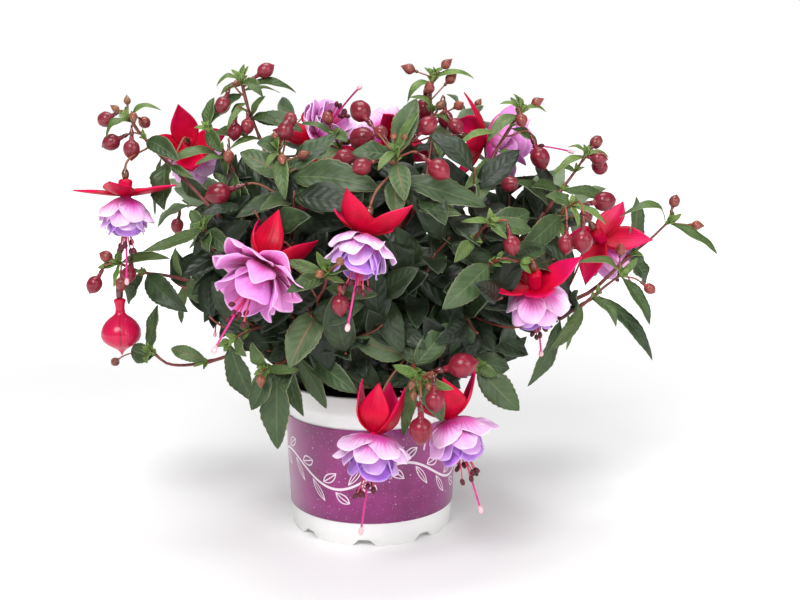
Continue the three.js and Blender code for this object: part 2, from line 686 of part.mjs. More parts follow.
function makePot() {
  const collar = POT_HEIGHT - POT_COLLAR_DEPTH;
  const ringTop = FLOOR_RAISE + FLOOR_THICKNESS;
  const inside = potWallRadius(ringTop) - POT_WALL;
  const pot = turned([
    [0, 0], [MIDDLE_RADIUS, 0], [MIDDLE_RADIUS + 2.5, FLOOR_RAISE],
    [POT_FOOT_RADIUS - FOOT_WIDTH - 1, FLOOR_RAISE], [POT_FOOT_RADIUS - FOOT_WIDTH, 0], [POT_FOOT_RADIUS, 0],
    [potWallRadius(collar), collar], [POT_RIM_RADIUS - 0.6, collar + 1.2],
    [POT_RIM_RADIUS, POT_HEIGHT - 1.4], [POT_RIM_RADIUS - 0.5, POT_HEIGHT],
    [POT_RIM_RADIUS - POT_WALL, POT_HEIGHT], [potWallRadius(collar) - POT_WALL, collar - 1.5],
    [inside, ringTop], [MIDDLE_RADIUS + 2.6, ringTop], [MIDDLE_RADIUS + 0.4, FLOOR_THICKNESS],
    [0, FLOOR_THICKNESS],
  ], POT_SIDES);
  const notches = [];
  for (let i = 0; i < FOOT_COUNT; i += 1) {
    const box = new THREE.BoxGeometry(FOOT_WIDTH * 4, FOOT_NOTCH_WIDTH, FOOT_NOTCH_HEIGHT * 2);
    box.translate(POT_FOOT_RADIUS, 0, 0);
    box.rotateZ(-Math.PI / 2 + (2 * Math.PI * i) / FOOT_COUNT);
    notches.push(solidOf(box));
  }
  return pot.subtract(joined(notches));
}

function makeLabel() {
  const rings = [LABEL_BOTTOM, LABEL_TOP].map((height) => [potWallRadius(height) + GAP, height]);
  return turned([
    rings[0], [rings[0][0] + LABEL_THICKNESS, LABEL_BOTTOM], [rings[1][0] + LABEL_THICKNESS, LABEL_TOP],
    rings[1], rings[0],
  ], POT_SIDES);
}

function makeSoil() {
  const ringTop = FLOOR_RAISE + FLOOR_THICKNESS + GAP;
  const wall = (height) => potWallRadius(height) - POT_WALL - 2 * GAP;
  return turned([
    [0, FLOOR_THICKNESS + GAP], [MIDDLE_RADIUS, FLOOR_THICKNESS + GAP], [MIDDLE_RADIUS + 2.2, ringTop],
    [wall(ringTop), ringTop], [wall(SOIL_LEVEL - 4), SOIL_LEVEL - 4], [wall(SOIL_LEVEL - 4) - 2, SOIL_LEVEL],
    [CROWN_RADIUS + 14, SOIL_LEVEL + SOIL_CROWN_RISE], [CROWN_RADIUS + GAP, SOIL_LEVEL + SOIL_CROWN_RISE],
    [CROWN_RADIUS + GAP, SOIL_LEVEL - CROWN_DEPTH], [0, SOIL_LEVEL - CROWN_DEPTH],
  ], POT_SIDES);
}

// The crown and the branches, with a twig to the foot of each shoot

function makeBranches() {
  const foot = SOIL_LEVEL - CROWN_DEPTH + GAP;
  const top = SOIL_LEVEL + CROWN_HEIGHT;
  const solids = [turned([[0, foot], [CROWN_RADIUS, foot], [CROWN_RADIUS, SOIL_LEVEL + 1],
    [CROWN_RADIUS * 0.8, top - 3], [0, top]], 10)];
  for (const fork of FORKS) {
    const start = new THREE.Vector3(fork[0] * 0.13, fork[1] * 0.13, SOIL_LEVEL + 2.5);
    const path = cubicPath(start, branchStartDirection(fork), vec(fork), branchEndDirection(fork));
    const [thick, thin] = BRANCH_RADIUS;
    solids.push(bentAlong(path, [[0, 0], [thick, 0], [thick, 0.4], [thin, 0.94], [0, 1.03]], BRANCH_SIDES));
  }
  for (const shoot of SHOOTS) solids.push(makeTwig(shoot));
  return fused(solids);
}

function branchStartDirection(fork) {
  return new THREE.Vector3(fork[0] * 0.003, fork[1] * 0.003, 1).normalize();
}

function branchEndDirection(fork) {
  return new THREE.Vector3(fork[0], fork[1], 0).normalize().multiplyScalar(0.6).add(UP).normalize();
}

function makeTwig(shoot) {
  const fork = vec(FORKS[shoot.fork]);
  const root = vec(shoot.stem[0]);
  const direction = unitBetween(root, vec(shoot.stem[1]));
  const path = cubicPath(fork, unitBetween(fork, root), along(root, direction, -GAP), direction);
  return bentAlong(path, [[0, 0], [TWIG_RADIUS[0], 0.15], [TWIG_RADIUS[1], 1], [0, 1]], TWIG_SIDES);
}

// Stems, leaves and buds

function makeStem({ path, steps }) {
  return bentAlong((distance) => path.at(distance), rodProfile(STEM_RADIUS, path.length, steps), STEM_SIDES);
}

// A point on a stem's middle line, which runs straight from step to step
function stemPoint({ path, steps }, share) {
  const step = Math.min(Math.floor(share * steps), steps - 1);
  const ends = [step, step + 1].map((each) => path.at((path.length * each) / steps).point);
  return mix(ends[0], ends[1], share * steps - step);
}

// The way a leaf's face looks: up, or away from the plant's middle, or between, and turned to the front
function leafFace(base, tip, facing) {
  const middle = mix(base, tip, 0.5);
  const look = mix(UP, unitBetween(PLANT_MIDDLE, middle), facing);
  const share = THREE.MathUtils.clamp((FRONT_END - middle.y) / FRONT_FADE, 0, 1) * FRONT_SHARE;
  return squareTo(along(look, FRONT, share), unitBetween(base, tip));
}

function leafRows(base, leaf, bend) {
  const [, x, y, z, width, lift, facing] = leaf;
  const nominal = new THREE.Vector3(x, y, z);
  const face = leafFace(base, nominal, facing);
  const across = unitBetween(base, nominal).cross(face);
  const tip = along(along(mix(base, nominal, bend[2]), face, bend[0]), across, bend[1]);
  const widths = width < SMALL_LEAF_WIDTH ? SMALL_LEAF_ROWS : LEAF_ROWS;
  const rows = widths.map(([share, half]) => {
    const middle = along(mix(base, tip, share), face, lift * 4 * share * (1 - share));
    return crossRow(middle, across, face, half * width, 0, false);
  });
  return [{ points: [base], face }, ...rows, { points: [tip], face }];
}

function budAxis(base, middle, droop) {
  return mix(unitBetween(base, middle), DOWN, droop).normalize();
}

// A bud on its pedicel, bent from the stem to the bud's place
function makeBud(base, bud) {
  const [, x, y, z, radius, droop] = bud;
  const middle = new THREE.Vector3(x, y, z);
  const axis = budAxis(base, middle, droop);
  const young = radius < YOUNG_BUD_RADIUS;
  const tube = (young ? 0.7 : 1.7) * radius;
  const neck = along(middle, axis, -radius - tube);
  const pedicel = cubicPath(base, mix(unitBetween(base, middle), UP, droop * 0.4).normalize(), neck, axis);
  const path = (distance) => (distance <= 1 ? pedicel(distance)
    : { point: along(neck, axis, distance - 1), direction: axis, side: pedicel(1).side });
  const thin = PEDICEL_RADIUS;
  const body = 1 + tube + radius;
  const bent = droop > 0.45 ? [[thin, 0.5]] : [];
  const swelling = young
    ? [[radius, body], [0, body + 1.7 * radius]]
    : [[0.42 * radius, 1 + 0.4 * tube], [radius, body], [0, body + 1.45 * radius]];
  const root = PEDICEL_ROOT / base.distanceTo(neck);
  const profile = [[0, 0], [thin, Math.min(root, 0.4)], ...bent, [thin, 1], ...swelling];
  return bentAlong(path, profile, young ? YOUNG_BUD_SIDES : BUD_SIDES);
}

// The pedicel that an open bloom hangs from
function makePedicel(base, bloom) {
  const axis = unitBetween(vec(bloom.top), vec(bloom.mouth));
  const end = along(vec(bloom.top), axis, -GAP);
  const path = cubicPath(base, unitBetween(base, end), end, axis);
  const thin = PEDICEL_RADIUS;
  return bentAlong(path, [[0, 0], [thin, 0.1], [thin, 0.55], [thin * 1.3, 1], [0, 1]], PEDICEL_SIDES);
}

// Open blooms

function bloomFrame(bloom) {
  const top = vec(bloom.top);
  const mouth = vec(bloom.mouth);
  const axis = unitBetween(top, mouth);
  const side = squareTo(new THREE.Vector3(1, 0.2, 0.1), axis);
  const length = top.distanceTo(mouth);
  const lift = axis.clone().cross(side);
  const outward = (turn) => along(side.clone().multiplyScalar(Math.cos(turn)), lift, Math.sin(turn));
  return { top, mouth, axis, side, length, outward };
}

// A petal or sepal: it leaves the axis at a turn round the bloom and bends by an angle at each row,
// measured from straight ahead
function bloomBlade(frame, turn, [start, out], angles, step, halfWidths, raise, middleRow, thickness) {
  const outward = frame.outward(turn);
  const across = frame.axis.clone().cross(outward);
  const tilted = (ahead, aside) => along(frame.axis.clone().multiplyScalar(ahead), outward, aside);
  const faceAt = (angle) => tilted(Math.sin(angle), -Math.cos(angle));
  let middle = along(along(frame.mouth, frame.axis, start), outward, out);
  const rows = [{ points: [middle.clone()], face: faceAt(angles[0]) }];
  angles.forEach((angle, i) => {
    middle = along(middle, tilted(Math.cos(angle), Math.sin(angle)), step);
    const face = faceAt((angle + angles[Math.min(i + 1, angles.length - 1)]) / 2);
    rows.push(halfWidths[i] > 0
      ? crossRow(middle, across, face, halfWidths[i], raise * halfWidths[i], i === middleRow)
      : { points: [middle], face });
  });
  return blade(rows, thickness);
}

function makeCalyx(bloom) {
  const frame = bloomFrame(bloom);
  const side = frame.outward(THREE.MathUtils.degToRad(bloom.spin + 45));
  const path = (distance) => ({ point: along(frame.top, frame.axis, distance), direction: frame.axis, side });
  const { length } = frame;
  const size = bloom.size;
  const ovary = length * OVARY_SHARE;
  const solids = [bentAlong(path, [
    [0, 0], [2.5 * size, ovary * 0.5], [1.6 * size, ovary], [TUBE_RADIUS * size, ovary + 2.5],
    [TUBE_RADIUS * size * 1.15, length], [0, length],
  ], TUBE_SIDES)];
  const step = (SEPAL_LENGTH * size) / 3;
  const width = SEPAL_WIDTH * size;
  for (let i = 0; i < SEPAL_COUNT; i += 1) {
    const turn = THREE.MathUtils.degToRad(bloom.spin + (360 * i) / SEPAL_COUNT);
    const lift = bloom.lift + SEPAL_UNEVEN[i];
    const angles = [0.45, 1, 1.12].map((share) => THREE.MathUtils.degToRad(90 + lift * share));
    solids.push(bloomBlade(frame, turn, [-2.2, 1.6], angles, step, [0.46 * width, 0.44 * width, 0], -0.3,
      0, SEPAL_THICKNESS));
  }
  return fused(solids);
}

function makeCorolla(bloom) {
  const frame = bloomFrame(bloom);
  const { size, flare } = bloom;
  const ahead = (distance) => ({ point: along(frame.mouth, frame.axis, distance), direction: frame.axis,
    side: frame.side });
  const style = STYLE_LENGTH * size;
  const solids = [bentAlong(ahead, [
    [0, GAP], [3.4 * size, GAP], [2.8 * size, 6 * size], [0.7, 13 * size], [0.7, style - 6], [1.7, style - 3],
    [0, style],
  ], CORE_SIDES)];
  for (const layer of [OUTER_PETALS, INNER_PETALS]) {
    for (let i = 0; i < layer.count; i += 1) {
      const turn = THREE.MathUtils.degToRad(bloom.spin + 45 + (360 * (i + layer.start)) / layer.count);
      const bend = flare * layer.spread + PETAL_UNEVEN[i];
      const angles = [1.35, 0.75].map((share) => THREE.MathUtils.degToRad(bend * share));
      const step = (layer.length * size) / 2;
      const halfWidths = [0.34 * layer.width * size, 0.5 * layer.width * size];
      solids.push(bloomBlade(frame, turn, [1.6, 1.2], angles, step, halfWidths, 0.3, 1, PETAL_THICKNESS));
    }
  }
  return fused(solids);
}

// Places on a stem where leaves and pedicels grow, each at least a step from the others
function rootFinder(shoot) {
  const taken = new Set();
  const last = Math.floor(shoot.path.length / ROOT_STEP) - 1;
  return (share) => {
    const wanted = Math.min(Math.round((share * shoot.path.length) / ROOT_STEP), last);
    let root = wanted;
    for (let i = 0; taken.has(root) || root < 1 || root > last; i += 1) {
      root = wanted + (i % 2 === 0 ? -1 : 1) * Math.ceil((i + 1) / 2);
    }
    taken.add(root);
    return stemPoint(shoot, (root * ROOT_STEP) / shoot.path.length);
  };
}

// Leaves that a shoot at the back carries by rule: pairs, each turned a quarter from the last
function pairedLeaves(shoot) {
  const leaves = [];
  for (let i = 0; i < shoot.pairs; i += 1) {
    const share = (i + 1) / shoot.pairs;
    const at = shoot.path.at(share * shoot.path.length);
    const outward = unitBetween(PLANT_MIDDLE, at.point);
    const level = squareTo(outward, at.direction);
    const side = at.direction.clone().cross(level);
    const length = shoot.leafLength * (1 - 0.35 * share);
    for (const sign of [-1, 1]) {
      const turn = Math.PI / 2 * (i % 2) + 0.5;
      const out = along(side.clone().multiplyScalar(sign * Math.cos(turn)), level, sign * Math.sin(turn));
      const direction = along(along(out, at.direction, 0.7), DOWN, 0.25).normalize();
      const tip = along(at.point, direction, length);
      leaves.push([share, tip.x, tip.y, tip.z, length * 0.42, 4, 0.6]);
    }
  }
  return leaves;
}

// Placing: what is already placed is kept with its box, and a leaf bends until it is clear

const placed = [];

function place(owner, solid) {
  placed.push({ owner, solid, box: solid.boundingBox() });
}

function boxesMeet(a, b) {
  return [0, 1, 2].every((i) => a.min[i] < b.max[i] && b.min[i] < a.max[i]);
}

function meets(solid, others) {
  const box = solid.boundingBox();
  return others.some((other) => boxesMeet(box, other.box) && !solid.intersect(other.solid).isEmpty());
}

// The leaf in the first bend that passes clear, or nothing
function makeLeaf(owner, base, leaf) {
  const others = placed.filter((other) => other.owner !== owner);
  const own = placed.filter((other) => other.owner === owner && !other.stem);
  for (const bend of LEAF_BENDS) {
    const rows = leafRows(base, leaf, bend);
    const roomy = BLADE_THICKNESS + 2 * GAP;
    if (!meets(blade(rows, roomy), others) && !meets(blade(rows.slice(1), roomy), own)) {
      return blade(rows, BLADE_THICKNESS);
    }
  }
  return null;
}

// Assembly

const FINISHES = {
  pot: { color: 0xf3f1ee, roughness: 0.35 },
  label: { color: 0x8c2f78, roughness: 0.3 },
  soil: { color: 0x2b2019, roughness: 0.95 },
  wood: { color: 0x6a3024, roughness: 0.7 },
  leaf: { color: 0x456b42, roughness: 0.55 },
  calyx: { color: 0xd3123f, roughness: 0.4 },
  corolla: { color: 0xd79be6, roughness: 0.5 },
};

const plant = new THREE.Group();

function add(name, solid, finish) {
  const material = new THREE.MeshStandardMaterial({ metalness: 0, ...FINISHES[finish] });
  const mesh = new THREE.Mesh(geometryOf(solid), material);
  mesh.name = name;
  plant.add(mesh);
}

function addWhole(name, solid, finish) {
  place(name, solid);
  add(name, solid, finish);
}

addWhole('pot', makePot(), 'pot');
addWhole('pot_label', makeLabel(), 'label');
addWhole('soil', makeSoil(), 'soil');
addWhole('woody_branches', makeBranches(), 'wood');
for (const bloom of BLOOMS) {
  addWhole(`${bloom.name}_calyx`, makeCalyx(bloom), 'calyx');
  addWhole(`${bloom.name}_corolla`, makeCorolla(bloom), 'corolla');
}

for (const shoot of SHOOTS) {
  shoot.path = smoothPath(shoot.stem.map(vec));
  shoot.steps = shoot.stem.length;
  shoot.baseAt = rootFinder(shoot);
  const stem = makeStem(shoot);
  place(shoot.name, stem);
  placed[placed.length - 1].stem = true;
  const carried = [];
  for (const bud of shoot.buds) carried.push(makeBud(shoot.baseAt(bud[0]), bud));
  for (const bloom of BLOOMS.filter((each) => each.shoot === shoot.name)) {
    carried.push(makePedicel(shoot.baseAt(bloom.along), bloom));
  }
  carried.forEach((solid) => place(shoot.name, solid));
  shoot.solids = [stem, ...carried];
}

for (const shoot of SHOOTS) {
  const leaves = shoot.leaves ?? pairedLeaves(shoot);
  for (const leaf of leaves) {
    const solid = makeLeaf(shoot.name, shoot.baseAt(leaf[0]), leaf);
    if (solid) {
      place(shoot.name, solid);
      shoot.solids.push(solid);
    }
  }
  add(shoot.name, fused(shoot.solids), 'leaf');
}

export default plant;
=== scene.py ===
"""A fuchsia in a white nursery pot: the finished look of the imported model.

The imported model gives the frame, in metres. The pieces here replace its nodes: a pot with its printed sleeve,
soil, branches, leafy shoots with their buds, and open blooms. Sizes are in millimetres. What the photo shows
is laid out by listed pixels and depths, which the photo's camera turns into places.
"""

import logging
import math
import random
from collections.abc import Callable, Sequence
from dataclasses import dataclass, field, fields
from enum import Enum, auto
from typing import NamedTuple

import bmesh
import bpy
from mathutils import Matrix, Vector, kdtree
from mathutils.geometry import interpolate_bezier


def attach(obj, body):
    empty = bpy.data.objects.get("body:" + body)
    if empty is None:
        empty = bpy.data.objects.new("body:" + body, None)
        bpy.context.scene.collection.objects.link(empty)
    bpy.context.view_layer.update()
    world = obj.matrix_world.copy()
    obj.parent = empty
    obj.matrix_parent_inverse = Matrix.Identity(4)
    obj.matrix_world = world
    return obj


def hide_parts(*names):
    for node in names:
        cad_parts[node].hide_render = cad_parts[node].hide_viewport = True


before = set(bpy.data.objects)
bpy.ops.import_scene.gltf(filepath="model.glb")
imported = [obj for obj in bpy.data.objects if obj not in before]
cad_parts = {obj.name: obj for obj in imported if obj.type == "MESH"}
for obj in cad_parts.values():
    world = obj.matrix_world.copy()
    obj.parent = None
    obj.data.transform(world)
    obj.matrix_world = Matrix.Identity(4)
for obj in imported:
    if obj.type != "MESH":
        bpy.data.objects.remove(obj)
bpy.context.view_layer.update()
LOG = logging.getLogger("fuchsia")

MM = 0.001
BODY = "root"
UP = Vector((0, 0, 1))
DOWN = Vector((0, 0, -1))
FRONT = Vector((0, -1, 0.15))
PLANT_MIDDLE = Vector((10, 0, 165))
WHITE = (1, 1, 1, 1)

# The gap between pieces that touch, and how near points are merged
GAP = 0.3
WELD = 1e-4

# Where soft patches of a noise begin and end
PATCHY = (0.3, 0.7)

# Seeds of the first shoot and of the first bloom
SHOOT_SEED = 100
BLOOM_SEED = 500

# Where the eight branches fork
FORKS = (
    Vector((-52, -16, 150)), Vector((-32, -44, 152)), Vector((8, -52, 148)), Vector((40, -38, 152)),
    Vector((54, 0, 152)), Vector((38, 42, 150)), Vector((-30, 44, 150)), Vector((0, 6, 178)),
)

Spot = tuple[float, float, float]
Place = Callable[[float, float], Vector]
Paint = tuple[float, float, float, float]
Rings = Sequence[tuple[float, float]]


# Shader maths


class Signal:
    """A number, colour or vector that a socket gives, with the operators that the finishes use."""

    def __init__(self, graph: "Graph", socket: bpy.types.NodeSocket | None) -> None:
        """Wraps an output.

        Args:
            graph: the node tree that the socket is in.
            socket: the output, or None after a node that closes its tree.
        """
        self.graph = graph
        self.socket = socket

    def math(self, operation: str, *values: "Signal | float") -> "Signal":
        """Adds a Math node.

        Args:
            operation: the node's operation.
            values: its inputs, in order.

        Returns:
            The node's result.
        """
        return self.graph.node("ShaderNodeMath", {"operation": operation}, dict(enumerate(values)))

    def __add__(self, other: "Signal | float") -> "Signal":
        """The sum."""
        return self.math("ADD", self, other)

    __radd__ = __add__

    def __sub__(self, other: "Signal | float") -> "Signal":
        """The difference."""
        return self.math("SUBTRACT", self, other)

    def __rsub__(self, other: float) -> "Signal":
        """The difference from a number."""
        return self.math("SUBTRACT", other, self)

    def __mul__(self, other: "Signal | float") -> "Signal":
        """The product."""
        return self.math("MULTIPLY", self, other)

    __rmul__ = __mul__

    def __truediv__(self, other: "Signal | float") -> "Signal":
        """The quotient."""
        return self.math("DIVIDE", self, other)

    def __pow__(self, other: float) -> "Signal":
        """The power."""
        return self.math("POWER", self, other)

    def __abs__(self) -> "Signal":
        """The size without its sign."""
        return self.math("ABSOLUTE", self)

    def part(self) -> "Signal":
        """What is left past the whole number."""
        return self.math("FRACT", self)

    def wave(self) -> "Signal":
        """The sine."""
        return self.math("SINE", self)

    def step(self, low: float, high: float) -> "Signal":
        """Adds a smooth step from 0 to 1.

        Args:
            low: where it starts.
            high: where it ends. If that is below low, the step goes down.

        Returns:
            The step.
        """
        inputs = {"Value": self, "From Min": low, "From Max": high}
        if low > high:
            inputs = {"Value": self, "From Min": high, "From Max": low, "To Min": 1.0, "To Max": 0.0}
        return self.graph.node("ShaderNodeMapRange", {"interpolation_type": "SMOOTHSTEP"}, inputs)


class Graph:
    """A node tree under way."""

    mix_factor, mix_first, mix_second, mix_result = 0, 6, 7, 2

    def __init__(self, tree: bpy.types.NodeTree) -> None:
        """Empties the tree of a material or a world."""
        self.tree = tree
        self.tree.nodes.clear()

    def node(self, kind: str, settings: dict, inputs: dict, output: int | str = 0) -> Signal:
        """Adds a node.

        Args:
            kind: the node's type.
            settings: its settings.
            inputs: values or signals by the socket's name or number.
            output: the output that is wanted.

        Returns:
            The output as a signal.
        """
        made = self.tree.nodes.new(kind)
        for name, value in settings.items():
            setattr(made, name, value)
        for name, value in inputs.items():
            if isinstance(value, Signal):
                self.tree.links.new(value.socket, made.inputs[name])
            else:
                made.inputs[name].default_value = value
        return Signal(self, made.outputs[output] if made.outputs else None)

    def mix(self, share: Signal | float, first: Signal | Paint, second: Signal | Paint) -> Signal:
        """Mixes two colours.

        Args:
            share: how much of the second colour shows.
            first: a colour.
            second: another colour.

        Returns:
            The mixed colour.
        """
        inputs = {self.mix_factor: share, self.mix_first: first, self.mix_second: second}
        return self.node("ShaderNodeMix", {"data_type": "RGBA"}, inputs, self.mix_result)

    def split(self, vector: Signal) -> tuple[Signal, Signal, Signal]:
        """The three numbers of a vector."""
        outputs = self.node("ShaderNodeSeparateXYZ", {}, {0: vector}).socket.node.outputs
        return tuple(Signal(self, socket) for socket in outputs)


class Shader(Graph):
    """One material under way."""

    def __init__(self, name: str) -> None:
        """Starts an empty material.

        Args:
            name: the material's name.
        """
        self.material = bpy.data.materials.new(name)
        self.material.use_nodes = True
        super().__init__(self.material.node_tree)

    def mark(self, name: str) -> Signal:
        """The piece's own attribute of that name."""
        return self.node("ShaderNodeAttribute", {"attribute_name": name}, {}, "Fac")

    def blade(self) -> tuple[Signal, Signal]:
        """The places across and along a blade, each from 0 to 1."""
        return self.split(self.node("ShaderNodeUVMap", {"uv_map": "UVMap"}, {}))[:2]

    def spot(self) -> Signal:
        """The place on the object, in metres."""
        return self.node("ShaderNodeTexCoord", {}, {}, "Object")

    def noise(self, size: float, detail: float = 3.0) -> Signal:
        """Adds a soft noise.

        Args:
            size: the size of a patch, in millimetres.
            detail: how many finer layers it has.

        Returns:
            The noise, from 0 to 1.
        """
        inputs = {"Vector": self.spot(), "Scale": 1 / (size * MM), "Detail": detail}
        return self.node("ShaderNodeTexNoise", {}, inputs)

    def cells(self, size: float) -> tuple[Signal, Signal]:
        """Adds scattered grains.

        Args:
            size: the size of a grain's cell, in millimetres.

        Returns:
            How far the nearest grain's middle is, and a number for each grain.
        """
        inputs = {"Vector": self.spot(), "Scale": 1 / (size * MM)}
        far = self.node("ShaderNodeTexVoronoi", {}, inputs, "Distance")
        colour = Signal(self, far.socket.node.outputs["Color"])
        return far, self.split(colour)[0]

    def bump(self, height: Signal, depth: float, strength: float = 1.0) -> Signal:
        """Bends the normal by a relief.

        Args:
            height: the relief from 0 to 1.
            depth: how deep it is, in millimetres.
            strength: how strongly it shows.

        Returns:
            The bent normal.
        """
        inputs = {"Height": height, "Distance": depth * MM, "Strength": strength}
        return self.node("ShaderNodeBump", {}, inputs)

    def finish(self, colour: Signal, roughness: Signal | float, normal: Signal | None,
               **fixed: Signal | float | Paint) -> bpy.types.Material:
        """Closes the material.

        Args:
            colour: the surface's colour.
            roughness: its roughness.
            normal: its bent normal, if any.
            fixed: values for the shader's other sockets, named with _ for a space.

        Returns:
            The material.
        """
        inputs = {"Base Color": colour, "Roughness": roughness}
        if normal is not None:
            inputs["Normal"] = normal
        inputs.update({name.replace("_", " "): value for name, value in fixed.items()})
        surface = self.node("ShaderNodeBsdfPrincipled", {}, inputs)
        self.node("ShaderNodeOutputMaterial", {}, {"Surface": surface})
        return self.material


def linear_light(value: float) -> float:
    """A screen's value from 0 to 1 as linear light."""
    return value / 12.92 if value <= 0.04045 else ((value + 0.055) / 1.055) ** 2.4


def paint(red: int, green: int, blue: int) -> Paint:
    """The linear colour of a screen's red, green and blue, each from 0 to 255."""
    return linear_light(red / 255), linear_light(green / 255), linear_light(blue / 255), 1.0


# The photo's camera


class SeenLeaf(NamedTuple):
    """A leaf as picked in the photo: its tip's pixel and depth, and its width in pixels."""

    along: float
    column: float
    row: float
    depth: float
    width: float
    arch: float
    facing: float


class SeenBud(NamedTuple):
    """A bud as picked in the photo: its middle's pixel and depth, and its radius in pixels."""

    along: float
    column: float
    row: float
    depth: float
    radius: float
    droop: float


class LeafRow(NamedTuple):
    """A leaf's place on the stem, its tip, its width, how far it arches and how far it faces outwards."""

    along: float
    x: float
    y: float
    z: float
    width: float
    arch: float
    facing: float


class BudRow(NamedTuple):
    """A bud's place on the stem, its middle, its radius and how far it droops."""

    along: float
    x: float
    y: float
    z: float
    radius: float
    droop: float


@dataclass(frozen=True)
class PhotoCamera:
    """The photo's camera, which turns a pixel and a depth into a place. Millimetres, degrees and pixels."""

    distance: float = 750.0
    pitch: float = 10.05
    aim: Spot = (19.3, 0.0, 151.4)
    lens: float = 50.76
    sensor: float = 36.0
    width: int = 800
    height: int = 600
    fine_below: float = 8.0

    @property
    def focal_pixels(self) -> float:
        """The focal length in pixels."""
        return self.lens / self.sensor * self.width

    @property
    def ahead(self) -> tuple[float, float]:
        """The cosine and sine of the pitch."""
        return math.cos(math.radians(self.pitch)), math.sin(math.radians(self.pitch))

    @property
    def eye(self) -> Spot:
        """Where the camera stands."""
        level, fall = self.ahead
        return self.aim[0], self.aim[1] - self.distance * level, self.aim[2] + self.distance * fall

    def far(self, y: float, z: float) -> float:
        """How far in front of the camera a place is."""
        level, fall = self.ahead
        return (y - self.eye[1]) * level - (z - self.eye[2]) * fall

    def place(self, column: float, row: float, depth: float) -> Spot:
        """Finds the place that a pixel shows.

        Args:
            column: the pixel's column in the photo.
            row: its row.
            depth: the place's Y, which is 0 at the pot's middle and less in front of it.

        Returns:
            The place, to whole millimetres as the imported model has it.
        """
        level, fall = self.ahead
        across = (column - self.width / 2) / self.focal_pixels
        up = (self.height / 2 - row) / self.focal_pixels
        rise = (depth - self.eye[1]) * (up * level - fall) / (level + up * fall)
        z = self.eye[2] + rise
        return round(self.aim[0] + across * self.far(depth, z)), depth, round(z)

    def leaf(self, row: SeenLeaf) -> LeafRow:
        """Turns a picked leaf into millimetres.

        Args:
            row: the leaf in pixels.

        Returns:
            The leaf in whole millimetres, with a small width to tenths.
        """
        _, y, z = spot = self.place(row.column, row.row, row.depth)
        width = row.width * self.far(y, z) / self.focal_pixels
        width = round(width, 1) if width < self.fine_below else round(width)
        return LeafRow(row.along, *spot, width, row.arch, row.facing)

    def bud(self, row: SeenBud) -> BudRow:
        """Turns a picked bud into millimetres.

        Args:
            row: the bud in pixels.

        Returns:
            The bud in whole millimetres, with its radius to tenths.
        """
        _, y, z = spot = self.place(row.column, row.row, row.depth)
        radius = round(row.radius * self.far(y, z) / self.focal_pixels, 1)
        return BudRow(row.along, *spot, radius, row.droop)


PHOTO = PhotoCamera()


# Finishes


class Finish(Enum):
    """The surfaces of the plant and its pot."""

    LEAF_UPPER = "leaf_upper"
    LEAF_UNDER = "leaf_under"
    STEM = "stem"
    BARK = "bark"
    BUD = "bud"
    OVARY = "ovary"
    SEPAL_INSIDE = "sepal_inside"
    SEPAL_OUTSIDE = "sepal_outside"
    PETAL = "petal"
    STYLE = "style"
    STIGMA = "stigma"
    FILAMENT = "filament"
    ANTHER = "anther"
    PLASTIC = "pot_plastic"
    FILM = "sleeve_film"
    SOIL = "soil"
    FLOOR = "floor"


@dataclass(frozen=True)
class LeafFinish:
    """A leaf's surface: dark and veined above, pale below, yellow-green when young, and near black with painted
    shade when its mark is low.
    """

    upper: bool
    veins: float = 7.5
    slant: float = 0.2

    def made(self) -> bpy.types.Material:
        """Makes the leaf's material.

        Returns:
            The material.
        """
        shader = Shader("leaf_upper" if self.upper else "leaf_under")
        across, along = shader.blade()
        side = abs(across - 0.5) * 2
        tone, youth = shader.mark("tone"), shader.mark("youth")
        lane = ((along - (side ** 1.3) * self.slant) * self.veins).part()
        rib = side.step(0.1, 0.02)
        vein = abs(lane - 0.5).step(0.11, 0.02) * side.step(1.0, 0.75)
        quilt = abs(lane - 0.5).step(0.0, 0.5) * side.step(1.0, 0.6)
        patch = shader.noise(9.0)
        if self.upper:
            old = shader.mix(patch.step(*PATCHY), paint(33, 50, 26), paint(52, 74, 40))
            old = shader.mix(tone ** 2.5 * 0.85, old, paint(88, 110, 70))
            # Painted shade: leaves marked below 0.3, above all those deep inside the plant, darken to near
            # black-green.
            old = shader.mix(tone.step(0.3, 0.0) * 0.85, old, paint(13, 22, 11))
            young = shader.mix(patch.step(*PATCHY), paint(88, 122, 46), paint(122, 150, 70))
            line, depth = paint(120, 136, 92), 0.5
        else:
            old = shader.mix(patch.step(*PATCHY), paint(118, 142, 108), paint(146, 166, 134))
            old = shader.mix(tone * 0.6, old, paint(98, 124, 86))
            young = shader.mix(patch.step(*PATCHY), paint(150, 178, 96), paint(172, 194, 120))
            # Painted shade on the underside too, for leaves marked below 0.3.
            old = shader.mix(tone.step(0.3, 0.0) * 0.85, old, paint(34, 46, 28))
            line, depth = paint(168, 150, 122), 0.4
        colour = shader.mix(youth, old, young)
        # Veins, rib and margin fade out where painted shade darkens the leaf.
        seen = tone.step(0.05, 0.4)
        colour = shader.mix(vein * seen * 0.11, colour, line)
        red_rib = tone.step(0.72, 0.86) * 0.5
        rib_colour = shader.mix(red_rib, line, paint(140, 56, 48))
        colour = shader.mix(rib * seen * (red_rib + 0.3), colour, rib_colour)
        colour = shader.mix(side.step(0.93, 0.99) * seen * 0.4, colour, paint(156, 146, 104))
        speck = shader.noise(1.2, 1.0)
        height = quilt * 0.5 + speck * 0.16 - rib * 0.5
        roughness = 0.38 + patch * 0.16 if self.upper else 0.56 + patch * 0.1
        return shader.finish(colour, roughness, shader.bump(height, depth, 0.7), Specular_IOR_Level=0.4)


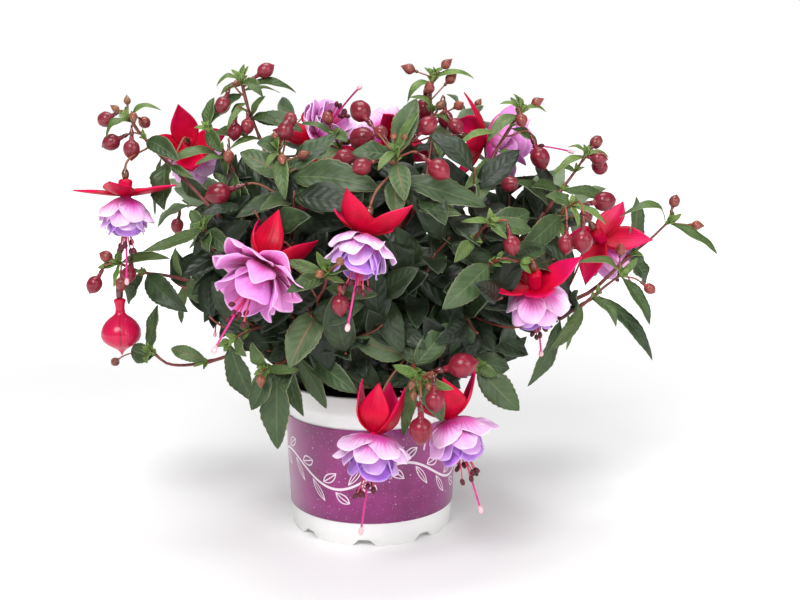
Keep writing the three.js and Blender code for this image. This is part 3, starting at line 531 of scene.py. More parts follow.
@dataclass(frozen=True)
class StemFinish:
    """A stem's skin: red-brown when young, dark maroon when old, or grey-brown bark."""

    woody: bool

    def made(self) -> bpy.types.Material:
        """Makes the stem's material.

        Returns:
            The material.
        """
        shader = Shader("bark" if self.woody else "stem")
        patch, fine = shader.noise(7.0), shader.noise(0.9)
        across, _ = shader.blade()
        if self.woody:
            colour = shader.mix(patch.step(*PATCHY), paint(74, 50, 36), paint(122, 92, 66))
            colour = shader.mix(fine.step(0.55, 0.75) * 0.6, colour, paint(48, 32, 24))
            return shader.finish(colour, 0.7 + fine * 0.2, shader.bump(fine + patch, 0.5, 0.9))
        youth = shader.mark("youth")
        colour = shader.mix(patch.step(*PATCHY), paint(76, 18, 22), paint(112, 34, 34))
        colour = shader.mix(youth * 0.85, colour, paint(164, 92, 74))
        colour = shader.mix(abs(across - 0.5).step(0.1, 0.3) * youth * 0.3, colour, paint(132, 130, 62))
        return shader.finish(colour, 0.36 + fine * 0.16, shader.bump(fine, 0.12, 0.6))


@dataclass(frozen=True)
class BudFinish:
    """A closed bud: rosy and finely dotted, olive when young, crimson when it is about to open."""

    def made(self) -> bpy.types.Material:
        """Makes the bud's material.

        Returns:
            The material.
        """
        shader = Shader("bud")
        across, along = shader.blade()
        seam = abs((across * 4).part() - 0.5).step(0.44, 0.5)
        rays = ((across * 251.0).wave() * 0.5 + 0.5) * along.step(0.2, 0.5)
        dots = shader.noise(0.55, 1.0).step(0.52, 0.66)
        patch = shader.noise(4.0)
        rose = shader.mix(patch.step(*PATCHY), paint(88, 6, 24), paint(124, 18, 42))
        rose = shader.mix(shader.mark("tone") * 0.5, rose, paint(138, 58, 66))
        rose = shader.mix(dots * 0.08, rose, paint(204, 122, 118))
        rose = shader.mix(along.step(0.86, 1.0) * 0.6, rose, paint(112, 44, 34))
        olive = shader.mix(patch.step(*PATCHY), paint(120, 72, 54), paint(142, 112, 70))
        ripe = shader.mix(rays * 0.3 + patch * 0.2, paint(190, 0, 54), paint(220, 36, 102))
        ripe = shader.mix(along.step(0.8, 1.0) * 0.5, ripe, paint(232, 120, 130))
        colour = shader.mix(shader.mark("youth"), rose, olive)
        colour = shader.mix(shader.mark("pink"), colour, ripe)
        colour = shader.mix(seam * 0.5, colour, paint(92, 14, 24))
        normal = shader.bump(dots * 0.15 - seam, 0.25, 0.7)
        return shader.finish(colour, 0.3 + patch * 0.1, normal, Coat_Weight=0.4, Coat_Roughness=0.1,
                             Specular_IOR_Level=0.22)


@dataclass(frozen=True)
class OvaryFinish:
    """The small glossy seed case above a bud or bloom."""

    def made(self) -> bpy.types.Material:
        """Makes the seed case's material.

        Returns:
            The material.
        """
        shader = Shader("ovary")
        patch = shader.noise(2.5)
        _, along = shader.blade()
        colour = shader.mix(patch.step(*PATCHY), paint(66, 18, 22), paint(112, 40, 36))
        colour = shader.mix(shader.mark("youth") * 0.8, colour, paint(112, 96, 48))
        colour = shader.mix(along.step(0.7, 1.0) * 0.4, colour, paint(52, 8, 14))
        return shader.finish(colour, 0.18 + patch * 0.1, shader.bump(patch, 0.2, 0.4), Coat_Weight=0.5)


@dataclass(frozen=True)
class SepalFinish:
    """A waxy red sepal with fine ribs along it."""

    inside: bool

    def made(self) -> bpy.types.Material:
        """Makes the sepal's material.

        Returns:
            The material.
        """
        shader = Shader("sepal_inside" if self.inside else "sepal_outside")
        across, along = shader.blade()
        ribs = (across * 47.0).wave() * 0.5 + 0.5
        patch, fine = shader.noise(8.0), shader.noise(0.8)
        if self.inside:
            colour = shader.mix(patch.step(0.25, 0.75), paint(150, 0, 22), paint(190, 0, 38))
            blush = paint(212, 8, 66)
        else:
            colour = shader.mix(patch.step(0.25, 0.75), paint(172, 0, 30), paint(204, 0, 50))
            blush = paint(232, 26, 108)
        colour = shader.mix(along.step(0.2, 0.85) * (patch * 0.6 + shader.mark("tone") * 0.5), colour, blush)
        colour = shader.mix(ribs * 0.07, colour, paint(228, 26, 84))
        colour = shader.mix(along.step(0.22, 0.0) * 0.6, colour, paint(150, 0, 18))
        colour = shader.mix(along.step(0.9, 1.0) * 0.4, colour, paint(140, 8, 28))
        normal = shader.bump(ribs * 0.3 + fine * 0.3 + patch, 0.3, 0.5)
        return shader.finish(colour, 0.3 + patch * 0.14, normal, Specular_IOR_Level=0.16)


@dataclass(frozen=True)
class PetalFinish:
    """A thin petal: almost white, pink or violet, with a white rim and magenta veins from its base."""

    def made(self) -> bpy.types.Material:
        """Makes the petal's material.

        Returns:
            The material.
        """
        shader = Shader("petal")
        across, along = shader.blade()
        side = across - 0.5
        pink, violet, tone = shader.mark("pink"), shader.mark("violet"), shader.mark("tone")
        wander = shader.noise(5.0)
        fan = ((side / (along + 0.35) + wander * 0.06) * 7.0 + 0.5).part()
        vein = abs(fan - 0.5).step(0.22, 0.02) * along.step(0.95, 0.3)
        heart = abs(side).step(0.24, 0.0) * along.step(0.95, 0.35)
        wash = shader.noise(9.0).step(*PATCHY)
        outer = along.step(0.25, 0.9)
        pale = shader.mix(outer - wash * 0.3, paint(222, 142, 226), paint(252, 224, 252))
        rosy = shader.mix(outer - wash * 0.4, paint(204, 34, 152), paint(246, 148, 226))
        deep = shader.mix(wash, paint(180, 112, 220), paint(138, 72, 196))
        colour = shader.mix(pink, pale, rosy)
        colour = shader.mix(violet, colour, deep)
        base = (along - wander * 0.2).step(0.58, 0.14)
        throat = shader.mix(pink.step(0.4, 0.9), paint(204, 10, 136), paint(186, 0, 96))
        colour = shader.mix(base * 0.9, colour, throat)
        colour = shader.mix(heart * 0.75, colour, paint(212, 34, 162))
        colour = shader.mix(vein * 0.8, colour, paint(192, 18, 140))
        rim = along.step(0.95, 0.99) + abs(side).step(0.464, 0.495) * along.step(0.35, 0.65)
        white = rim.math("MINIMUM", rim, 1.0) * (0.65 - violet * 0.35 - pink * 0.35)
        colour = shader.mix(white, colour, paint(254, 236, 250))
        colour = shader.mix(tone * 0.08, colour, paint(255, 240, 255))
        fine = shader.noise(0.7)
        normal = shader.bump(vein * 0.6 + fine * 0.3, 0.25, 0.5)
        return shader.finish(colour, 0.5 + wander * 0.12, normal, Sheen_Weight=0.15, Sheen_Roughness=0.4,
                             Specular_IOR_Level=0.25)


@dataclass(frozen=True)
class ThreadFinish:
    """A style, stigma, filament or anther."""

    name: str
    low: Paint
    high: Paint
    roughness: float
    grain: float = 0.8

    def made(self) -> bpy.types.Material:
        """Makes the thread's material.

        Returns:
            The material.
        """
        shader = Shader(self.name)
        grain, along = shader.noise(self.grain), shader.blade()[1]
        colour = shader.mix(grain.step(*PATCHY), self.low, self.high)
        colour = shader.mix(along.step(0.0, 1.0) * 0.25, colour, self.high)
        normal = shader.bump(grain, 0.15, 0.6)
        return shader.finish(colour, self.roughness + grain * 0.1, normal, Coat_Weight=0.1)


@dataclass(frozen=True)
class PlasticFinish:
    """The pot's white moulded plastic, with faint tooling lines, faint grey specks, and painted shade at its
    foot by the floor and on its collar under the leaves.
    """

    def made(self) -> bpy.types.Material:
        """Makes the pot's material.

        Returns:
            The material.
        """
        shader = Shader("pot_plastic")
        _, _, height = shader.split(shader.spot())
        haze, fine = shader.noise(40.0), shader.noise(0.7)
        lines = (height * 2900.0).wave() * 0.5 + 0.5
        colour = shader.mix(haze.step(*PATCHY), paint(238, 237, 236), paint(248, 248, 247))
        colour = shader.mix(fine.step(0.6, 0.8) * 0.05, colour, paint(206, 202, 196))
        # Painted shade: darker over the lowest 12 millimetres, by the floor.
        colour = shader.mix(height.step(0.012, 0.0) * haze * 0.2, colour, paint(196, 190, 182))
        # Painted shade: the collar band, under the leaves, is greyer.
        colour = shader.mix(height.step(0.086, 0.1) * 0.3 + fine * 0.03, colour, paint(226, 224, 216))
        normal = shader.bump(lines * 0.2 + fine * 0.25, 0.06, 0.5)
        return shader.finish(colour, 0.3 + haze * 0.12, normal, Specular_IOR_Level=0.45)


@dataclass(frozen=True)
class FilmFinish:
    """The sleeve's print: plum, made paler to its left by a painted highlight, with fine bright specks and a
    plain winding sprig.
    """

    middle: float = 47.0
    swing: float = 9.0
    half_girth: float = 172.0
    winding: float = 86.0
    stem_edge: tuple[float, float] = (1.05, 0.65)
    leaf_pitch: float = 17.2
    leaf_lift: float = 6.4
    leaf_lean: float = 0.75
    leaf_half_width: float = 2.9
    leaf_square: float = 46.0

    def made(self) -> bpy.types.Material:
        """Makes the sleeve's material.

        Returns:
            The material.
        """
        shader = Shader("sleeve_film")
        x, y, z = shader.split(shader.spot())
        turn = x.math("ARCTAN2", x, 0 - y) / math.pi
        wash = shader.noise(18.0, 4.0)
        place = turn + wash * 0.06
        # Painted highlight: the left side of the sleeve turns paler.
        left = place.step(-0.12, -0.46) * place.step(-0.95, -0.62)
        right = turn.step(0.2, 0.42) * turn.step(0.9, 0.6)
        height = z / MM
        colour = shader.mix(wash.step(*PATCHY), paint(124, 22, 98), paint(152, 38, 122))
        colour = shader.mix(left, colour, paint(176, 118, 156))
        colour = shader.mix(right * 0.5, colour, paint(158, 62, 136))
        colour = shader.mix(height.step(26.0, 14.0) * 0.4, colour, paint(90, 24, 74))
        far, pick = shader.cells(1.5)
        speck = far.step(0.3, 0.12) * pick.step(0.6, 0.68)
        far, pick = shader.cells(4.5)
        spark = far.step(0.14, 0.05) * pick.step(0.5, 0.6)
        colour = shader.mix(speck * 0.4, colour, paint(226, 170, 214))
        colour = shader.mix(spark * 0.75, colour, paint(255, 236, 250))
        colour = shader.mix(self.sprig(turn, height), colour, paint(248, 236, 246))
        gloss = 0.26 + wash * 0.1
        return shader.finish(colour, gloss, shader.bump(speck + wash * 0.3, 0.05, 0.3), Coat_Weight=0.35,
                             Coat_Roughness=0.12)

    def sprig(self, turn: Signal, height: Signal) -> Signal:
        """Draws the sprig: a winding stem with outlined leaves on both sides.

        Args:
            turn: the place round the pot, from -1 to 1, with 0 in front.
            height: the height in millimetres.

        Returns:
            How strongly the sprig shows.
        """
        length = turn * self.half_girth
        line = height - self.middle - (length * (math.tau / self.winding)).wave() * self.swing
        shown = abs(line).step(*self.stem_edge)
        half = self.leaf_pitch / 2
        for sign, shift in ((1, 0.0), (-1, half)):
            lean = sign * self.leaf_lean
            ahead = ((length + shift) / self.leaf_pitch).part() * self.leaf_pitch - half
            up = line - sign * self.leaf_lift
            run = ahead * math.cos(lean) + up * math.sin(lean)
            aside = up * math.cos(lean) - ahead * math.sin(lean)
            room = (1 - run * run / self.leaf_square) * self.leaf_half_width - abs(aside)
            rib = 1 - abs(aside).step(0.45, 0.15)
            shown = shown.math("MAXIMUM", shown, room.step(0.0, 0.35) * (1 - room.step(0.7, 1.05) * rib))
        return shown * 0.85


@dataclass(frozen=True)
class SoilFinish:
    """Dark moist peat with pale crumbs."""

    def made(self) -> bpy.types.Material:
        """Makes the soil's material.

        Returns:
            The material.
        """
        shader = Shader("soil")
        lump, fine = shader.noise(6.0, 6.0), shader.noise(1.2, 4.0)
        far, pick = shader.cells(3.2)
        colour = shader.mix(lump.step(*PATCHY), paint(34, 25, 20), paint(66, 48, 36))
        colour = shader.mix(fine.step(0.55, 0.7) * 0.5, colour, paint(92, 70, 52))
        colour = shader.mix(far.step(0.22, 0.12) * pick.step(0.9, 0.93), colour, paint(196, 188, 176))
        return shader.finish(colour, 0.82 + fine * 0.15, shader.bump(lump + fine, 2.0, 0.9))


@dataclass(frozen=True)
class FloorFinish:
    """The plain white studio floor, which shines away from the pot so that it stays white there."""

    glow: float = 0.08

    def made(self) -> bpy.types.Material:
        """Makes the floor's material.

        Returns:
            The material.
        """
        shader = Shader("floor")
        haze = shader.noise(300.0)
        x, y, _ = shader.split(shader.spot())
        far = (x * x + y * y).step(0.09, 1.4)
        colour = shader.mix(haze, paint(250, 250, 250), paint(253, 253, 253))
        glow = shader.mix(far, (self.glow, self.glow, self.glow, 1), WHITE)
        return shader.finish(colour, 0.7 + haze * 0.1, None, Specular_IOR_Level=0.2, Emission_Color=glow,
                             Emission_Strength=1.0)


RECIPES = {
    Finish.LEAF_UPPER: LeafFinish(upper=True),
    Finish.LEAF_UNDER: LeafFinish(upper=False),
    Finish.STEM: StemFinish(woody=False),
    Finish.BARK: StemFinish(woody=True),
    Finish.BUD: BudFinish(),
    Finish.OVARY: OvaryFinish(),
    Finish.SEPAL_INSIDE: SepalFinish(inside=True),
    Finish.SEPAL_OUTSIDE: SepalFinish(inside=False),
    Finish.PETAL: PetalFinish(),
    Finish.STYLE: ThreadFinish("style", paint(184, 14, 104), paint(218, 46, 146), 0.3),
    Finish.STIGMA: ThreadFinish("stigma", paint(232, 150, 170), paint(250, 206, 208), 0.5),
    Finish.FILAMENT: ThreadFinish("filament", paint(196, 30, 60), paint(226, 84, 116), 0.4),
    Finish.ANTHER: ThreadFinish("anther", paint(56, 4, 20), paint(100, 14, 38), 0.6, grain=0.4),
    Finish.PLASTIC: PlasticFinish(),
    Finish.FILM: FilmFinish(),
    Finish.SOIL: SoilFinish(),
    Finish.FLOOR: FloorFinish(),
}


class Palette:
    """The materials, each made once."""

    def __init__(self) -> None:
        """Starts with none made."""
        self.made: dict[Finish, bpy.types.Material] = {}

    def get(self, finish: Finish) -> bpy.types.Material:
        """The material of a finish."""
        if finish not in self.made:
            self.made[finish] = RECIPES[finish].made()
        return self.made[finish]


# Paths and meshes


def square_to(direction: Vector, axis: Vector) -> Vector:
    """Finds the part of a direction that is square to another.

    Args:
        direction: a direction.
        axis: the direction to be square to.

    Returns:
        That part as a unit vector, or any vector square to the axis if the two are in line.
    """
    rest = direction - axis * direction.dot(axis)
    if rest.length < 0.05:
        rest = Vector((1, 0.3, 0.2))
        rest -= axis * rest.dot(axis)
    return rest.normalized()


@dataclass
class Path:
    """A line through points, read by its share of the whole length."""

    points: list[Vector]
    reach: list[float] = field(init=False)

    def __post_init__(self) -> None:
        """Adds up the lengths."""
        self.reach = [0.0]
        for start, end in zip(self.points, self.points[1:], strict=False):
            self.reach.append(self.reach[-1] + (end - start).length)

    @property
    def length(self) -> float:
        """The whole length."""
        return self.reach[-1]

    def at(self, share: float) -> Vector:
        """Finds a point of the path.

        Args:
            share: its share of the length. Past 1 the path runs straight on, in millimetres.

        Returns:
            The point.
        """
        if share > 1:
            return self.points[-1] + self.direction(1.0) * (share - 1)
        wanted = max(share, 0.0) * self.length
        last = len(self.points) - 2
        i = min(next((k - 1 for k, far in enumerate(self.reach) if far > wanted), last), last)
        span = self.reach[i + 1] - self.reach[i] or 1.0
        return self.points[i].lerp(self.points[i + 1], (wanted - self.reach[i]) / span)

    def direction(self, share: float) -> Vector:
        """The unit direction at a share of the length."""
        share = min(max(share, 0.0), 1.0)
        return (self.at(min(share + 0.02, 1.0)) - self.at(max(share - 0.02, 0.0))).normalized()

    def frames(self, shares: Sequence[float]) -> list[tuple[Vector, Vector, Vector]]:
        """Finds directions square to the path.

        Args:
            shares: places along the path.

        Returns:
            For each place its point and two directions square to the path, which don't twist.
        """
        side = square_to(Vector((1, 0.2, 0.1)), self.direction(0.0))
        found = []
        for share in shares:
            ahead = self.direction(share)
            side = square_to(side, ahead)
            found.append((self.at(share), side, ahead.cross(side)))
        return found


def smooth_path(points: Sequence[Vector]) -> Path:
    """Draws a smooth path through points.

    Args:
        points: the points that the path goes through.

    Returns:
        The path.
    """
    ends = [points[0] * 2 - points[1], *points, points[-1] * 2 - points[-2]]
    line = [points[0]]
    for before, start, end, after in zip(ends, ends[1:], ends[2:], ends[3:], strict=False):
        reach = (end - start).length / 3
        out = (end - before).normalized() * reach
        back = (after - start).normalized() * reach
        line += interpolate_bezier(start, start + out, end - back, end, 9)[1:]
    return Path(line)


def cubic_path(start: Vector, start_direction: Vector, end: Vector, end_direction: Vector) -> Path:
    """Draws one smooth bend between two ends.

    Args:
        start: where the path starts.
        start_direction: the way it leaves.
        end: where it ends.
        end_direction: the way it arrives.

    Returns:
        The path.
    """
    reach = (end - start).length / 3
    out, back = start + start_direction * reach, end - end_direction * reach
    return Path(interpolate_bezier(start, out, back, end, 16))


@dataclass
class Marks:
    """What the finishes read from a part of a piece, each from 0 to 1."""

    # Lighter or darker at random; on a leaf a value below 0.3 paints shade.
    tone: float = 0.5
    youth: float = 0.0
    pink: float = 0.0
    violet: float = 0.0


class Piece:
    """One mesh under way, in millimetres, with its finishes and marks."""

    def __init__(self, name: str, palette: Palette) -> None:
        """Starts an empty mesh.

        Args:
            name: the object's name.
            palette: where its materials come from.
        """
        self.name = name
        self.palette = palette
        self.mesh = bmesh.new()
        self.mesh.loops.layers.uv.new("UVMap")
        self.layers = {mark.name: self.mesh.verts.layers.float.new(mark.name) for mark in fields(Marks)}
        self.slots: list[Finish] = []

    def slot(self, finish: Finish) -> int:
        """The number of a finish's material slot."""
        if finish not in self.slots:
            self.slots.append(finish)
        return self.slots.index(finish)

    def sheet(self, place: Place, columns: int, rows: int, finish: Finish, marks: Marks,
              thickness: float = 0.0, under: Finish | None = None) -> None:
        """Adds a grid bent to a shape. Points that meet are merged, and a thickness makes a closed shell.

        Args:
            place: gives the point for the shares across and along.
            columns: faces across.
            rows: faces along.
            finish: the finish of its face.
            marks: what the finish reads.
            thickness: the shell's thickness, or 0 for a shape that closes by itself.
            under: the finish of the back, if it isn't the same.
        """
        grid = bmesh.ops.create_grid(self.mesh, x_segments=columns, y_segments=rows, size=0.5, calc_uvs=True)
        verts = grid["verts"]
        values = [(self.layers[key], getattr(marks, key)) for key in self.layers]
        for vert in verts:
            vert.co = place(vert.co.x + 0.5, vert.co.y + 0.5)
            for layer, value in values:
                vert[layer] = value
        bmesh.ops.remove_doubles(self.mesh, verts=verts, dist=WELD)
        faces = list({face for vert in verts if vert.is_valid for face in vert.link_faces})
        slot = self.slot(finish)
        if thickness:
            shell = bmesh.ops.solidify(self.mesh, geom=faces, thickness=thickness)["geom"]
            back = self.slot(under or finish)
            inner = {face for face in shell if isinstance(face, bmesh.types.BMFace)}
            for vert in [vert for vert in shell if isinstance(vert, bmesh.types.BMVert)]:
                for face in vert.link_faces:
                    face.material_index, face.smooth = back, face in inner
        for face in faces:
            face.material_index, face.smooth = slot, True

    def rod(self, path: Path, profile: Rings, sides: int, finish: Finish, marks: Marks,
            lobes: float = 0.0) -> None:
        """Adds a round form along a path.

        Args:
            path: its middle line.
            profile: the share of the path and the radius of each ring, from a closed end to a closed end.
            sides: faces round it.
            finish: its finish.
            marks: what the finish reads.
            lobes: how deep its four seams are, as a share of the radius.
        """
        frames = path.frames([share for share, _ in profile])
        last = len(profile) - 1

        def place(around: float, ahead: float) -> Vector:
            """Finds a point of a ring.

            Args:
                around: its place round the ring.
                ahead: the ring's place among all the rings.

            Returns:
                The point.
            """
            row = round(ahead * last)
            point, side, lift = frames[row]
            turn = math.tau * around
            radius = profile[row][1] * (1 - lobes * max(0.0, math.cos(4 * turn)) ** 3)
            return point + side * (math.cos(turn) * radius) + lift * (math.sin(turn) * radius)

        self.sheet(place, sides, last, finish, marks)

    def turned(self, profile: Rings, steps: int, finish: Finish) -> None:
        """Adds a closed profile spun round the upright axis.

        Args:
            profile: radius and height of its corners, in order.
            steps: faces round it.
            finish: its finish.
        """
        verts = [self.mesh.verts.new((radius, 0, height)) for radius, height in profile]
        edges = [self.mesh.edges.new(pair) for pair in zip(verts, verts[1:], strict=False)]
        if profile[0][0] > 0:
            edges.append(self.mesh.edges.new((verts[-1], verts[0])))
        bmesh.ops.spin(self.mesh, geom=verts + edges, cent=(0, 0, 0), axis=(0, 0, 1), angle=math.tau,
                       steps=steps, use_merge=True)
        bmesh.ops.remove_doubles(self.mesh, verts=self.mesh.verts, dist=WELD)
        bmesh.ops.recalc_face_normals(self.mesh, faces=self.mesh.faces)
        slot = self.slot(finish)
        for face in self.mesh.faces:
            face.material_index, face.smooth = slot, True

    def finished(self, slot: str, *nodes: str) -> bpy.types.Object:
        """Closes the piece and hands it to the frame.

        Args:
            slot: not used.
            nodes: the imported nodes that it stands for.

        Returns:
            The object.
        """
        bmesh.ops.scale(self.mesh, vec=(MM, MM, MM), verts=self.mesh.verts)
        data = bpy.data.meshes.new(self.name)
        self.mesh.to_mesh(data)
        self.mesh.free()
        for finish in self.slots:
            data.materials.append(self.palette.get(finish))
        made = bpy.data.objects.new(self.name, data)
        bpy.context.scene.collection.objects.link(made)
        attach(made, BODY)
        if nodes:
            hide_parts(*nodes)
        LOG.info("%s: %d faces", self.name, len(data.polygons))
        return made


# Pot, sleeve and soil


@dataclass
class Pot:
    """The nursery pot: a sloping wall, a deep collar, and a foot with notches."""

    height: float = 100.0
    rim_radius: float = 60.0
    foot_radius: float = 53.5
    collar: float = 14.0
    shoulder_radius: float = 57.6
    wall: float = 1.4
    notches: int = 8
    notch_width: float = 15.0
    notch_height: float = 4.2
    steps: int = 192

    def wall_radius(self, height: float) -> float:
        """The wall's outside radius at a height."""
        flare = (self.shoulder_radius - self.foot_radius) * height / (self.height - self.collar)
        return self.foot_radius + flare

    def build(self, palette: Palette) -> None:
        """Builds the pot with its foot's notches.

        Args:
            palette: where its finish comes from.
        """
        top = self.height - self.collar
        foot, rim = self.foot_radius, self.rim_radius
        profile = [
            (0, 0), (36, 0), (36.6, 0.4), (38.2, 6), (38.9, 6.5), (49.1, 6.5), (49.7, 6), (50.4, 0.5),
            (50.9, 0), (foot - 0.5, 0), (foot, 0.6), (self.wall_radius(7), 7), (self.wall_radius(46), 46),
            (self.wall_radius(top - 1), top - 1), (self.wall_radius(top) + 0.2, top - 0.1),
            (rim - 0.9, top + 0.5), (rim - 0.35, top + 1.2), (rim - 0.1, top + 3.5), (rim, self.height - 1.6),
            (rim + 0.05, self.height - 0.9), (rim - 0.25, self.height - 0.3), (rim - 0.8, self.height),
            (rim - 1.4, self.height - 0.3), (self.wall_radius(top) - self.wall, top - 1.5),
            (self.wall_radius(9) - self.wall, 9.6), (self.wall_radius(9) - self.wall - 0.9, 8.9),
            (38.6, 8.9), (36.4, 2.4), (0, 2.4),
        ]
        piece = Piece("nursery_pot", palette)
        piece.turned(profile, self.steps, Finish.PLASTIC)
        half, pitch = math.degrees(self.notch_width / 2 / foot), 360 / self.notches
        for vert in piece.mesh.verts:
            radius = math.hypot(vert.co.x, vert.co.y)
            if radius > 50 and vert.co.z < 1:
                turn = (math.degrees(math.atan2(vert.co.y, vert.co.x)) + 94) % pitch
                share = min(max((half * 1.15 - min(turn, pitch - turn)) / (half * 0.75), 0), 1)
                vert.co.z += self.notch_height * share * share * (3 - 2 * share)
        piece.finished("pot", "pot")


@dataclass
class Sleeve:
    """The printed film round the pot's wall."""

    bottom: float = 16.0
    top: float = 78.5
    gap: float = 0.3
    thickness: float = 0.5
    bevel: float = 0.12
    steps: int = 144

    def build(self, palette: Palette, pot: Pot) -> None:
        """Builds the sleeve.

        Args:
            palette: where its finish comes from.
            pot: the pot that it is round.
        """
        low, high = pot.wall_radius(self.bottom) + self.gap, pot.wall_radius(self.top) + self.gap
        piece = Piece("printed_sleeve", palette)
        edge, bottom, top = self.thickness, self.bottom, self.top
        profile = [(low, bottom), (low + edge, bottom), (high + edge, top), (high, top)]
        piece.turned(profile, self.steps, Finish.FILM)
        sharp = [side for side in piece.mesh.edges if side.calc_face_angle(0) > 1]
        bmesh.ops.bevel(piece.mesh, geom=sharp, offset=self.bevel, affect="EDGES", segments=2, profile=0.5,
                        material=-1)
        piece.finished("label", "pot_label")


@dataclass
class Soil:
    """The soil: a low uneven mound that the crown stands in."""

    level: float = 88.0
    rise: float = 3.0
    hole: float = 12.3
    hole_depth: float = 74.0
    crumbs: float = 0.9
    steps: int = 96
    seed: int = 5

    def build(self, palette: Palette, pot: Pot) -> None:
        """Builds the soil.

        Args:
            palette: where its finish comes from.
            pot: the pot that it fills.
        """
        wall = pot.wall_radius(84) - pot.wall - GAP
        floor = pot.wall_radius(9) - pot.wall - GAP
        top = self.level + self.rise
        rings = [(26 + (wall - 0.4 - 26) * i / 14, self.level + self.rise * (1 - i / 14)) for i in range(15)]
        profile = [(0, self.hole_depth), (self.hole, self.hole_depth), (self.hole, top - 0.4),
                   (self.hole + 0.5, top), *rings, (wall, self.level - 1), (floor + 0.2, 12),
                   (floor - 1, 9.2), (38.2, 9.2), (36, 2.7), (0, 2.7)]
        piece = Piece("soil_mound", palette)
        piece.turned(profile, self.steps, Finish.SOIL)
        draw = random.Random(self.seed)
        for vert in piece.mesh.verts:
            radius = math.hypot(vert.co.x, vert.co.y)
            if vert.co.z > self.level - 0.2 and self.hole + 2 < radius < wall - 1:
                vert.co.z += draw.uniform(-self.crumbs, self.crumbs)
        piece.finished("soil", "soil")


# Leaves, stems and buds

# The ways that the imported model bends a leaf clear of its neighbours: millimetres up its face and sideways,
# and the share of its length
LEAF_BENDS = (
    (0, 0, 1), (4, 0, 1), (-4, 0, 1), (0, 5, 1), (0, -5, 1), (8, 0, 0.95), (-8, 0, 0.95), (6, 8, 0.9),
    (6, -8, 0.9), (-6, 8, 0.9), (-6, -8, 0.9), (13, 0, 0.85), (-13, 0, 0.85), (0, 13, 0.8), (0, -13, 0.8),
    (4, 0, 0.65), (-4, 0, 0.65), (16, 12, 0.75), (16, -12, 0.75),
)


@dataclass
class Leaf:
    """One leaf from its root to its tip."""

    base: Vector
    tip: Vector
    width: float
    lift: float
    facing: float
    columns: int = 6
    rows: int = 22
    thickness: float = 0.35
    front_share: float = 0.9
    front_end: float = 60.0
    front_fade: float = 60.0

    def face(self) -> Vector:
        """Finds the way its upper side looks.

        Returns:
            A unit direction, turned to the front where the leaf is near it.
        """
        middle = self.base.lerp(self.tip, 0.5)
        look = UP.lerp((middle - PLANT_MIDDLE).normalized(), self.facing)
        turned = self.front_share * min(max((self.front_end - middle.y) / self.front_fade, 0), 1)
        return square_to(look + FRONT * turned, (self.tip - self.base).normalized())

    def tips(self) -> list[Vector]:
        """Finds where the tip may be.

        Returns:
            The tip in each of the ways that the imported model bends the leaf.
        """
        face = self.face()
        across = (self.tip - self.base).normalized().cross(face)
        return [self.base.lerp(self.tip, share) + face * up + across * aside
                for up, aside, share in LEAF_BENDS]

    def grow(self, piece: Piece, marks: Marks, draw: random.Random) -> None:
        """Adds the leaf: a narrow stalk, a pointed oval with fine teeth, folded along its rib.

        Args:
            piece: the mesh that it goes into.
            marks: what its finish reads.
            draw: the source of its small differences.
        """
        face = self.face()
        along = (self.tip - self.base).normalized()
        across = along.cross(face)
        length = (self.tip - self.base).length
        fold, sway = draw.uniform(0.12, 0.4), draw.uniform(-0.05, 0.05) * length
        wave, phase = draw.uniform(0.03, 0.11), draw.uniform(0, math.tau)
        tooth = 0.045 if self.rows > 14 and self.width > 7 else 0.0
        stalk = 0.07 if self.width > 7 else 0.03

        def place(side: float, share: float) -> Vector:
            """Finds a point of the blade.

            Args:
                side: its place across.
                share: its place along.

            Returns:
                The point.
            """
            s = (side - 0.5) * 2
            blade = max(0.0, (share - stalk) / (1 - stalk))
            outline = 2.8 * blade ** 0.62 * (1 - blade) ** 0.92
            half = self.width * 0.5 * outline
            if 0 < share < 1:
                half = max(half, 0.35)
            if abs(s) > 0.99 and 0.1 < share < 0.97:
                half *= 1 + (tooth if round(share * self.rows) % 2 else -tooth * 0.5)
            rise = self.lift * 4 * share * (1 - share) + half * (abs(s) ** 1.4) * fold
            rise += half * wave * 2 * math.sin(share * 13 + phase + s) * s * s
            point = self.base.lerp(self.tip, share) + along * (abs(s) * half * 0.12)
            aside = s * half + sway * math.sin(math.pi * share)
            return point + face * (rise - half * fold * 0.35) + across * aside

        if length > 2:
            piece.sheet(place, self.columns, self.rows, Finish.LEAF_UPPER, marks, self.thickness,
                        Finish.LEAF_UNDER)


class Stage(Enum):
    """How far a bud has come."""

    YOUNG = auto()
    PLUMP = auto()
    RIPE = auto()


@dataclass(frozen=True)
class BudForm:
    """The shape of a stage. A ring is a place ahead of the neck and a radius, both in radii of the bud."""

    case: Rings
    body: Rings
    tube: float = 1.7
    pedicel: float = 0.62
    sides: int = 12
    lobes: float = 0.05


